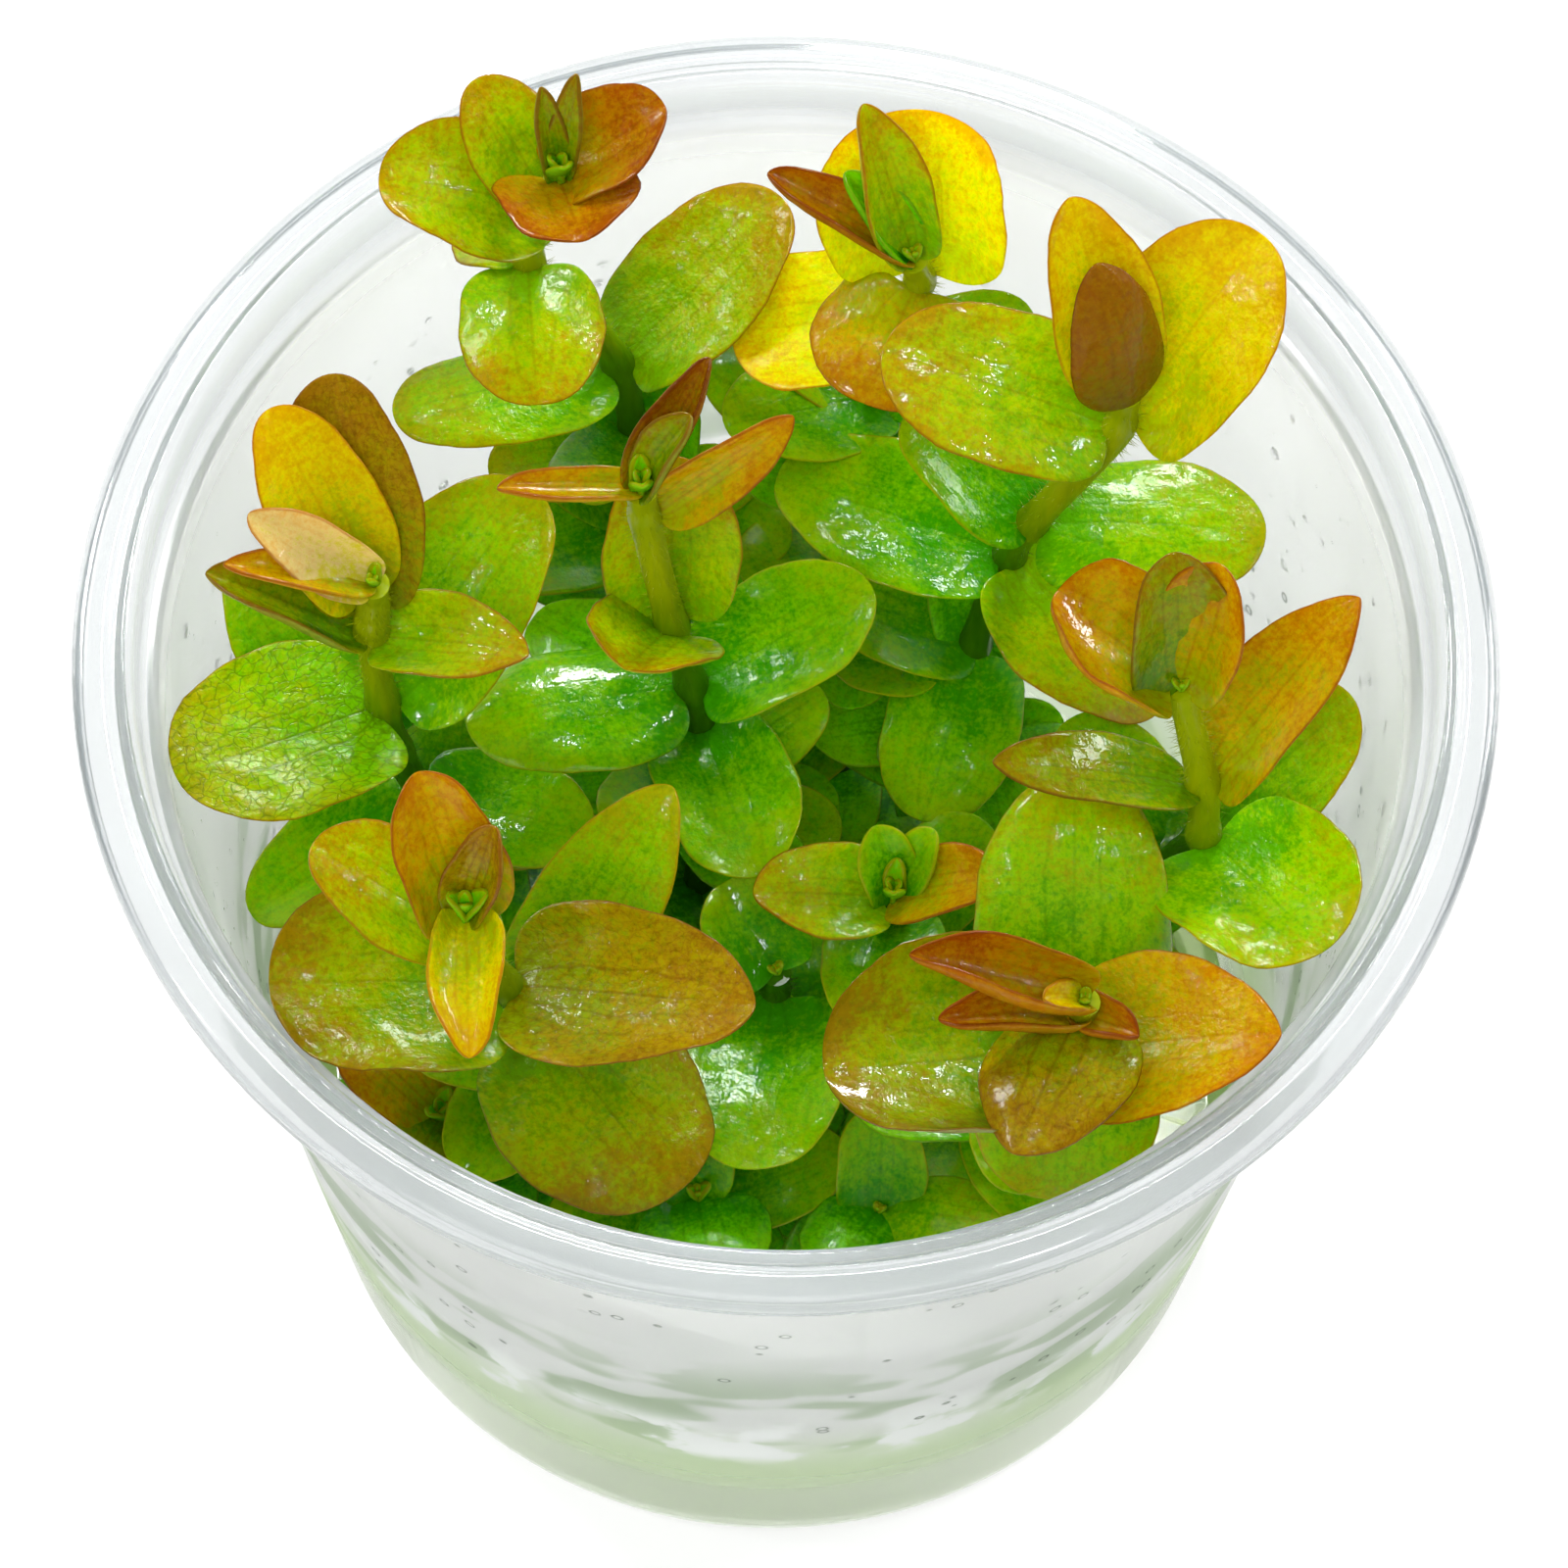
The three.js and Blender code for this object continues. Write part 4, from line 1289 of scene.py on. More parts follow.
@dataclass
class Shoot:
    """One shoot: its stem through its points, the free leaves and the small ones at its tip and foot."""

    number: int
    foot: tuple[float, float]
    stem: list[tuple[float, float, float]]
    leaves: list[Leaf]
    young: list[Leaf]
    deep: list[tuple[float, Leaf]] = field(default_factory=list)
    stem_radius: float = 1.1
    knot_radius: float = 1.35
    clasp: float = 0.9
    upright: float = 5.0
    low_gap: float = 8.0
    low_turn: float = 30.0
    lowest_pair: float = 19.0
    bud_size: float = 1.0
    shortest_leaf: float = 4.0
    wall_gap: float = 0.8

    def build(self, wardrobe: Wardrobe, tube: TubeRecipe) -> None:
        """Builds the stem, the free leaves and the small leaves.

        Args:
            wardrobe: The materials.
            tube: The recipe of the stem.
        """
        self._build_stem(wardrobe, tube)
        for order, leaf in enumerate(self.leaves):
            self._build_leaf(wardrobe, leaf, self.number * SEEDS_PER_SHOOT + order)
        self._build_young(wardrobe)

    def _build_stem(self, wardrobe: Wardrobe, tube: TubeRecipe) -> None:
        """Sweeps the stem, thicker at its nodes and thin at its tip, with hairs near the tip.

        Args:
            wardrobe: The materials.
            tube: The recipe of the stem.
        """
        line = self._path()
        knots = np.array(self.stem)
        girth, hair = [], []
        for spot in line:
            swell = math.exp(-((np.linalg.norm(knots - spot, axis=1).min() / 1.6) ** 2))
            rest = np.linalg.norm(line[-1] - spot)
            thin = min(1.0, 0.82 + rest / 40)
            girth.append((self.stem_radius + (self.knot_radius - self.stem_radius) * swell) * thin * MM)
            hair.append(max(0.0, 1.0 - rest / 30) if rest > 1 else 0.0)
        name = f"shoot_{self.number}_stem_skin"
        piece = guide_lines(name, [line], {"girth": girth, "hair": hair})
        values = {
            "Sides": 16,
            "Hair density": 2.6e6,
            "Hair length": 0.8 * MM,
            "Hair radius": 0.03 * MM,
            "Seed": self.number,
            "Material": wardrobe.stem,
        }
        tube.apply(piece, values)
        settle(piece, "stem", f"shoot_{self.number}_stem")

    def _build_leaf(self, wardrobe: Wardrobe, leaf: Leaf, seed: int) -> None:
        """Builds one free leaf, which clasps the stem a little nearer than its solid does.

        Args:
            wardrobe: The materials.
            leaf: The leaf.
            seed: Its own seed.
        """
        azimuth = math.radians(leaf.azimuth)
        out = np.array([math.cos(azimuth), math.sin(azimuth), 0.0])
        foliage = Foliage()
        foliage.add(leaf, np.array(self.stem[leaf.node - 1]) + out * self.clasp, seed, LEAF_NET)
        node = f"shoot_{self.number}_{leaf.name}_leaf"
        settle(foliage.build(f"{node}_blade", wardrobe), slot_of(node), node)

    def _build_young(self, wardrobe: Wardrobe) -> None:
        """Builds the small leaves at the nodes, the folded bud, and the leaves deep in the cup.

        Args:
            wardrobe: The materials.
        """
        foliage = Foliage()
        line = self._path()
        placed = [(np.array(self.stem[leaf.node - 1]), leaf) for leaf in [*self.young, *self._bud()]]
        for height, leaf in [*self.deep, *self._low_pairs()]:
            spot = line[np.abs(line[:, 2] - height).argmin()]
            placed.append((spot, leaf))
        first_seed = FIRST_YOUNG_SEED + self.number * SEEDS_PER_SHOOT
        for seed, (spot, leaf) in enumerate(placed, first_seed):
            self._fit(leaf, spot)
            foliage.add(leaf, spot, seed, YOUNG_NET)
        settle(foliage.build(f"shoot_{self.number}_young_leaves", wardrobe), "leaf_green")

    def _path(self) -> np.ndarray:
        """Returns points along the stem, which leaves the gel straight up."""
        foot = [(*self.foot, STEM_FOOT), (*self.foot, STEM_FOOT + self.upright)]
        return smooth_path([*foot, *self.stem], STEM_STEPS)

    def _fit(self, leaf: Leaf, spot: np.ndarray) -> None:
        """Shortens a leaf whose tip would reach the cup's wall.

        Args:
            leaf: The leaf, whose length and width may change.
            spot: Where it starts, in millimetres.
        """
        forward = leaf.axes()[0]
        while leaf.length > self.shortest_leaf and spot[2] < NECK_HEIGHT:
            tip = spot + forward * leaf.length
            if math.hypot(tip[0], tip[1]) < wall_radius(tip[2]) - WALL - self.wall_gap:
                return
            leaf.length *= 0.92
            leaf.width *= 0.95

    def _low_pairs(self) -> list[tuple[float, Leaf]]:
        """Returns pairs of leaves down the stem, each a quarter turn from the pair above it.

        Returns:
            Rows of a leaf's height on the stem, in millimetres, and the leaf.
        """
        chance = random.Random(self.number)
        named = [leaf.node for leaf in [*self.leaves, *self.young] if not leaf.name.startswith("old")]
        height = self.stem[min(named) - 1][2] - self.low_gap
        turn = self.low_turn
        pairs = []
        while height > self.lowest_pair:
            length = chance.uniform(10.5, 13.0)
            tone = Tone.GREEN if height > 48 else Tone.DEEP
            for half_turn in (0, 180):
                azimuth = turn + half_turn + chance.uniform(-12, 12)
                rise = chance.uniform(8, 34)
                width = length * chance.uniform(0.66, 0.78)
                fold, curl = chance.uniform(-8, 14), chance.uniform(-30, 5)
                leaf = Leaf("low_pair", 1, azimuth, rise, length, width, tone, fold=fold, curl=curl)
                pairs.append((height, leaf))
            turn += 90
            height -= chance.uniform(7.5, 9.5)
        return pairs

    def _bud(self) -> list[Leaf]:
        """Returns the bud's tiny leaves: two pairs, still folded round the tip.

        Returns:
            The four leaves.
        """
        top = len(self.stem)
        turn = self.young[0].azimuth + 90
        size = self.bud_size
        return [
            Leaf("bud_a", top, turn, 66, 3.8 * size, 2.0 * size, Tone.BUD, fold=30),
            Leaf("bud_b", top, turn + 180, 70, 3.4 * size, 1.9 * size, Tone.BUD, fold=30),
            Leaf("bud_c", top, turn + 90, 78, 2.8 * size, 1.5 * size, Tone.BUD, fold=25),
            Leaf("bud_d", top, turn - 90, 80, 2.6 * size, 1.5 * size, Tone.BUD, fold=25),
        ]


# The shoots, with every leaf where the solid model has it
SHOOTS = [
    Shoot(
        number=1,
        foot=(-8, 16),
        stem=[
            (-9, 19, 38),
            (-11.5, 25, 58),
            (-13, 27.4, 75),
            (-19.3, 26.8, 91),
            (-17.6, 26.5, 99),
            (-16.8, 26.3, 102.5),
        ],
        leaves=[
            Leaf("left", 5, -168, 24, 12, 10.4, Tone.CITRUS, fold=12, curl=-30, wet=0.3, brim=0.6, roll=-20),
            Leaf("front", 4, -84, 3, 11.5, 10.5, Tone.CITRUS, fold=-8, curl=-20),
            Leaf("right", 3, 38, 31, 16.5, 12, Tone.CITRUS, roll=-8, fold=8, wet=0.3),
            Leaf("low_left", 3, -165, -2, 16, 10.5, Tone.LIME, roll=12, fold=-6),
        ],
        young=[
            Leaf("inner_right", 6, 22, 34, 9.5, 8.5, Tone.COPPER, fold=20),
            Leaf("inner_back", 5, 136, 44, 10.5, 7.5, Tone.CITRUS),
            Leaf("inner_front", 6, -74, 26, 8, 10.5, Tone.COPPER, fold=15),
            Leaf("inner_tip", 6, 72, 65, 8.98, 3, Tone.OLIVE, fold=30, point=0.4),
            Leaf("inner_side", 6, 113, 66, 7.98, 3, Tone.OLIVE, fold=35, point=0.4),
            Leaf("low_back", 4, 130, -35, 8, 7, Tone.CITRUS),
            Leaf("old_back", 2, 80, 30, 10, 8, Tone.DEEP),
        ],
        deep=[
            (64, Leaf("deep_left", 1, -166, 0, 11, 8, Tone.LIME)),
            (56, Leaf("deep_low_left", 1, -158, 5, 14, 9, Tone.GREEN)),
            (58, Leaf("deep_right", 1, 12, 10, 9.5, 7, Tone.GREEN)),
            (50, Leaf("deep_side", 1, -176, 8, 11, 8, Tone.DEEP)),
            (44, Leaf("deep_front", 1, -120, 10, 11, 8, Tone.DEEP)),
        ],
        low_turn=60,
        bud_size=1.2,
    ),
    Shoot(
        number=2,
        foot=(4, 14),
        stem=[(4.5, 17, 38), (5.8, 25, 62), (7, 28, 81), (8.6, 26.6, 90), (8, 26.2, 93.5)],
        leaves=[
            Leaf("back", 4, 96, 42, 11.5, 14.5, Tone.SUN, roll=-15, brim=0.6),
            Leaf("front", 4, -112, -6, 9.5, 12, Tone.AMBER, fold=-10),
            Leaf("left", 3, 178, -12, 11, 12, Tone.SUN, wet=0.2),
        ],
        young=[
            Leaf("inner_back", 5, 118, 46, 12, 6.5, Tone.CITRUS, fold=35, point=0.3),
            Leaf("inner_left", 5, 158, 20, 12, 6, Tone.COPPER, fold=45, point=0.3),
            Leaf("inner_tip", 5, 140, 35, 8, 5.5, Tone.DEEP, fold=45, point=0.3),
            Leaf("old_left", 2, 190, 25, 11, 8, Tone.DEEP),
        ],
        deep=[
            (70, Leaf("deep_left", 1, 168, 8, 13.5, 9, Tone.GREEN, fold=-10, wet=0.9)),
            (73, Leaf("deep_back", 1, 155, 14, 12, 8, Tone.LIME)),
            (56, Leaf("deep_low_left", 1, -178, 5, 9.5, 7.5, Tone.GREEN)),
            (50, Leaf("deep_front", 1, -92, 12, 10, 8, Tone.DEEP)),
            (41, Leaf("deep_low", 1, -122, 0, 9.5, 7, Tone.GREEN)),
            (34, Leaf("deep_foot", 1, -95, 20, 10, 8, Tone.DEEP)),
        ],
        low_turn=20,
        bud_size=0.5,
    ),
    Shoot(
        number=3,
        foot=(12, 9),
        stem=[
            (12.5, 12, 38),
            (14.1, 15.1, 56),
            (16, 14.8, 71),
            (17.2, 13.2, 79),
            (22.6, 13, 94),
            (22.8, 13.3, 98),
        ],
        leaves=[
            Leaf("right", 5, 47, 36, 16, 13.5, Tone.GOLD, brim=0.4),
            Leaf("left", 5, 170, 13, 16.5, 11.5, Tone.CITRUS, roll=-15, wet=0.9, brim=-0.5),
            Leaf("upright", 6, 117, 51, 14.5, 8.5, Tone.GOLD, fold=15, point=0.25),
            Leaf("brown_front", 6, -57, 119, 12.4, 8, Tone.BROWN, fold=22, curl=45, point=0.35, wet=0.15),
            Leaf("low_right", 4, 0, 0, 16, 12, Tone.LIME, fold=-8),
            Leaf("mid_left", 3, 166, 9, 17, 12, Tone.GREEN, fold=12, wet=0.5, brim=-0.5),
            Leaf("mid_right", 3, -40, -18, 15, 13, Tone.CITRUS),
            Leaf("deep_front", 2, -104, -10, 13.5, 10.5, Tone.GREEN, fold=-10, wet=0.3),
        ],
        young=[
            Leaf("inner_right", 6, 88, 66, 5.5, 3.0, Tone.OLIVE, fold=8),
            Leaf("low_left", 4, 150, 25, 12, 8, Tone.GREEN),
            Leaf("deep_back", 2, 100, 45, 9.5, 7, Tone.DEEP),
            Leaf("old_right", 1, 20, 30, 11, 8, Tone.DEEP),
        ],
        deep=[
            (56, Leaf("deep_left", 1, 166, 12, 13, 9.5, Tone.GREEN)),
            (48, Leaf("deep_side", 1, -165, 10, 12, 9, Tone.DEEP)),
            (44, Leaf("deep_low", 1, -70, 5, 11, 8, Tone.DEEP)),
        ],
        low_turn=75,
        bud_size=0.55,
    ),
    Shoot(
        number=4,
        foot=(-6, 1),
        stem=[
            (-6, 2, 40),
            (-6.3, 4.1, 64),
            (-6.8, 4.1, 69.5),
            (-8.2, 4.1, 79),
            (-10.1, 4.8, 94),
            (-10.3, 4.8, 97.5),
        ],
        leaves=[
            Leaf("top_right", 5, 18, 33, 12.3, 5.3, Tone.AMBER, roll=60, fold=20, point=0.35),
            Leaf("back", 4, 92, 55, 12.5, 10, Tone.CITRUS),
            Leaf("front", 4, -114, 43, 8.8, 10.2, Tone.CITRUS, wet=0.2, fold=16),
            Leaf("left", 3, -164, 6, 16, 11, Tone.GREEN, fold=-12, curl=-25, wet=1.0, brim=-0.7),
            Leaf("right", 3, 20, 27, 14.5, 10.5, Tone.GREEN, wet=0.5),
            Leaf("low_front", 2, -70, 8, 13.5, 10.5, Tone.GREEN),
        ],
        young=[
            Leaf("inner_left", 6, -174, 9, 10, 3.6, Tone.AMBER, fold=40, point=0.25),
            Leaf("inner_back", 6, 54, 46, 11, 5.5, Tone.BROWN, fold=50, point=0.35),
            Leaf("inner_tip", 6, 33, 60, 8, 4.5, Tone.OLIVE, fold=40),
            Leaf("old_left", 1, 170, 30, 11, 8, Tone.DEEP),
            Leaf("old_right", 1, -10, 30, 11, 8, Tone.DEEP),
        ],
        deep=[
            (56, Leaf("deep_left", 1, -178, -5, 11, 8, Tone.DEEP)),
            (64, Leaf("deep_behind", 1, 150, 4, 14.5, 9.5, Tone.DEEP)),
            (46, Leaf("deep_right", 1, 2, 14, 11, 8.5, Tone.GREEN)),
            (38, Leaf("deep_front", 1, -78, 6, 11, 8.5, Tone.GREEN)),
            (32, Leaf("deep_low", 1, -118, 6, 10.5, 8, Tone.GREEN)),
        ],
        low_turn=40,
    ),
    Shoot(
        number=5,
        foot=(19, -4),
        stem=[
            (20, -5, 38), (27, -6.5, 62), (30, -7, 70), (29.6, -11, 79), (29.2, -9.8, 84), (26.8, -8.2, 96)
        ],
        leaves=[
            Leaf("cup_left", 6, 152, 24, 10, 12.5, Tone.AMBER, fold=30, wet=0.9, brim=0.9),
            Leaf("long_right", 5, 45, 41, 17, 9, Tone.AMBER, roll=-15, fold=15, point=0.45),
            Leaf("twisted", 5, -176, 24, 15.5, 6.5, Tone.OLIVE, roll=30, twist=-45, wet=0.5, point=0.45),
            Leaf("low_right", 4, -52, 18, 13, 14, Tone.LIME, fold=5, wet=0.3, brim=0.4),
            Leaf("low_back", 3, 33, 42, 15, 11, Tone.LIME),
        ],
        young=[
            Leaf("inner_back", 6, 102, 60, 11, 8.5, Tone.OLIVE, fold=25),
            Leaf("inner_right", 6, 68, 60, 10.5, 8, Tone.AMBER, fold=25),
            Leaf("old_right", 1, 0, 30, 11, 8, Tone.DEEP),
        ],
        deep=[
            (46, Leaf("deep_right", 1, -40, 6, 13, 9, Tone.GREEN)),
            (52, Leaf("deep_left", 1, 150, 12, 11, 8, Tone.DEEP)),
            (56, Leaf("deep_front", 1, -100, 5, 11, 8.5, Tone.GREEN)),
            (62, Leaf("deep_behind", 1, 118, 20, 13, 10, Tone.GREEN)),
        ],
        low_turn=10,
        bud_size=0.4,
    ),
    Shoot(
        number=6,
        foot=(-20, 1),
        stem=[
            (-21, 1, 40),
            (-26, -1.5, 61),
            (-27.8, -2, 70),
            (-28.4, -2.4, 78),
            (-28.8, -2, 88),
            (-28.7, -2, 90.2),
            (-28.5, -1.9, 92.2),
            (-28.3, -2.2, 95.8),
        ],
        leaves=[
            Leaf("gold_up", 7, 130, 48, 15.5, 8.5, Tone.GOLD),
            Leaf("copper_up", 6, 104, 45, 17, 9.5, Tone.RUSSET),
            Leaf("pale_right", 5, -14, 16, 11, 7.5, Tone.CITRUS, fold=20, point=0.35, wet=0.9),
            Leaf("fold_left", 5, 174, 30, 12, 7.5, Tone.OLIVE, fold=40, point=0.4),
            Leaf("veined", 4, -150, 11, 15.3, 14, Tone.NET, fold=5, wet=0.15, brim=0.5),
            Leaf("glossy_right", 4, 52, 29, 18, 13, Tone.LIME, fold=8, wet=0.7, brim=0.4),
            Leaf("low_left", 3, 142, 37, 17.5, 11, Tone.GREEN),
        ],
        young=[
            Leaf("deep_right", 2, -16, 8, 13, 9.5, Tone.GREEN, wet=1.0),
            Leaf("inner_pale", 8, 165, 26, 10, 5, Tone.ROSE, roll=-30, fold=20, point=0.25),
            Leaf("inner_low", 8, -178, 16, 10.5, 4, Tone.AMBER, fold=30, point=0.4),
            Leaf("old_left", 2, -142, -5, 15.5, 9, Tone.GREEN),
            Leaf("old_back", 1, 100, 30, 11, 8, Tone.DEEP),
        ],
        deep=[
            (55, Leaf("deep_right", 1, 2, 5, 11, 7.5, Tone.LIME)),
            (48, Leaf("deep_front", 1, -85, 10, 11, 8, Tone.DEEP)),
        ],
        low_turn=80,
        bud_size=0.5,
    ),
    Shoot(
        number=7,
        foot=(-12, -12),
        stem=[
            (-14, -16, 40),
            (-17, -22, 68),
            (-18.7, -24.3, 79),
            (-20.7, -24.7, 87.5),
            (-20.9, -24.7, 89.5),
            (-21, -24.7, 91.2),
        ],
        leaves=[
            Leaf("gold_left", 4, 164, 34, 12.5, 9, Tone.CITRUS, fold=15),
            Leaf("fold_up", 5, 118, 57, 12, 9, Tone.AMBER, fold=30),
            Leaf("big_left", 3, -174, 10, 15.5, 16, Tone.OLIVE, wet=0.3, brim=0.5),
            Leaf("big_right", 3, -8, 11, 17, 13, Tone.RUSSET, wet=0.3, brim=0.5, point=0.3),
            Leaf("back", 2, 55, 36, 19, 10, Tone.LIME, fold=15, point=0.3),
            Leaf("front", 2, -50, -4, 15.5, 15.5, Tone.OLIVE, fold=-8, wet=0.2),
        ],
        young=[
            Leaf("inner_front", 6, -86, -8, 10, 6.5, Tone.GOLD, fold=35, point=0.25),
            Leaf("inner_back", 6, 60, 60, 8, 5, Tone.RUSSET, fold=35),
            Leaf("old_left", 1, 160, 30, 11, 8, Tone.DEEP),
        ],
        deep=[
            (56, Leaf("deep_front", 1, -125, 5, 12, 9, Tone.GREEN)),
            (50, Leaf("deep_right", 1, -10, 10, 11, 8, Tone.DEEP)),
        ],
        low_turn=25,
    ),
    Shoot(
        number=8,
        foot=(12, -14),
        stem=[
            (13, -16, 40), (18, -23, 62), (20.6, -26.3, 75), (20, -28.9, 82), (20.6, -29, 88), (20.8, -29, 90)
        ],
        leaves=[
            Leaf("cup_left", 4, -166, 12, 16.5, 18, Tone.OLIVE, fold=20, wet=1.0, brim=1.2),
            Leaf("right", 4, -6, 27, 15, 13, Tone.AMBER, wet=0.1, point=0.45),
            Leaf("back", 3, 91, 28, 19.5, 14.5, Tone.LIME, fold=-8, curl=-50, wet=1.0, brim=-0.8),
            Leaf("front", 3, -90, -38, 9.7, 13, Tone.LIME, wet=0.4),
        ],
        young=[
            Leaf("inner_left", 6, 175, 20, 12.8, 8, Tone.COPPER, fold=55, point=0.45),
            Leaf("inner_low", 5, -170, 12, 10, 6.5, Tone.COPPER, fold=50, point=0.45),
            Leaf("inner_front", 5, -113, 2, 11.5, 11, Tone.RUSSET, fold=-18, roll=10, point=0.45),
            Leaf("inner_right", 5, -28, 14, 4.6, 4.6, Tone.COPPER, fold=45, point=0.45),
            Leaf("inner_tip", 6, -160, 40, 4, 3, Tone.GOLD, fold=30),
            Leaf("old_front", 1, -110, 30, 11, 8, Tone.DEEP),
        ],
        deep=[
            (60, Leaf("deep_left", 1, -170, 5, 12, 9, Tone.DEEP)),
            (56, Leaf("deep_front", 1, -75, 5, 12, 9, Tone.GREEN)),
        ],
        low_turn=65,
        bud_size=0.4,
    ),
    Shoot(
        number=9,
        foot=(4, -4),
        stem=[(5, -5, 38), (8.6, -8.6, 59), (8.3, -10.2, 65)],
        leaves=[
            Leaf("left", 3, -175, 12, 9.5, 8, Tone.CITRUS, fold=15, wet=0.2, point=0.2),
        ],
        young=[
            Leaf("inner_right", 3, -4, 35, 9, 6.5, Tone.AMBER, fold=20),
            Leaf("inner_back", 3, 118, 58, 6.5, 5, Tone.GREEN, fold=20),
            Leaf("inner_side", 3, 50, 50, 6.5, 4, Tone.GREEN, fold=20),
            Leaf("low", 2, -102, 18, 12, 9, Tone.GREEN),
            Leaf("old_right", 1, 60, 30, 11, 8, Tone.DEEP),
        ],
        deep=[
            (46, Leaf("deep_left", 1, 175, 10, 10, 8, Tone.DEEP)),
            (44, Leaf("deep_back", 1, 60, 12, 10, 8, Tone.DEEP)),
        ],
        low_turn=50,
    ),
    Shoot(
        number=10,
        foot=(-4, -22),
        stem=[(-4.5, -25, 38), (-5.1, -30, 55), (-5.1, -31.1, 58)],
        leaves=[],
        young=[
            Leaf("inner_front", 3, -80, 25, 8.5, 10, Tone.DEEP, fold=-10),
            Leaf("inner_back", 3, 100, 40, 7, 6, Tone.GREEN, fold=15),
            Leaf("old_left", 1, 190, 30, 10, 8, Tone.DEEP),
        ],
        low_turn=15,
        bud_size=0.6,
    ),
    Shoot(
        number=11,
        foot=(6, -23),
        stem=[(7, -25, 36), (8, -30, 54)],
        leaves=[],
        young=[
            Leaf("inner_left", 2, -120, 22, 8, 8, Tone.DEEP, fold=-10),
            Leaf("inner_right", 2, -15, 22, 11, 7, Tone.LIME, fold=-10),
            Leaf("inner_back", 2, 90, 40, 8, 7, Tone.GREEN, fold=15),
        ],
        low_turn=70,
        bud_size=0.3,
    ),
    Shoot(
        number=12,
        foot=(0, -12),
        stem=[(0, -13.5, 38), (0, -15.5, 60), (0, -15.5, 63)],
        leaves=[
            Leaf("front", 2, -98, 12, 15, 13.5, Tone.GREEN, wet=0.4, brim=-0.4),
        ],
        young=[
            Leaf("inner_back", 3, 125, 18, 7.5, 8, Tone.GREEN, fold=15, wet=0.9),
        ],
        low_turn=30,
        bud_size=0.4,
    ),
    Shoot(
        number=13,
        foot=(-20, -17),
        stem=[(-21, -19, 36), (-24, -23, 52)],
        leaves=[],
        young=[
            Leaf("inner_left", 2, 150, 35, 11, 7, Tone.AMBER, fold=10),
            Leaf("inner_right", 2, -30, 25, 8, 6, Tone.OLIVE, fold=10),
            Leaf("inner_front", 2, -110, 25, 7, 6, Tone.OLIVE, fold=15),
        ],
        low_turn=5,
    ),
]


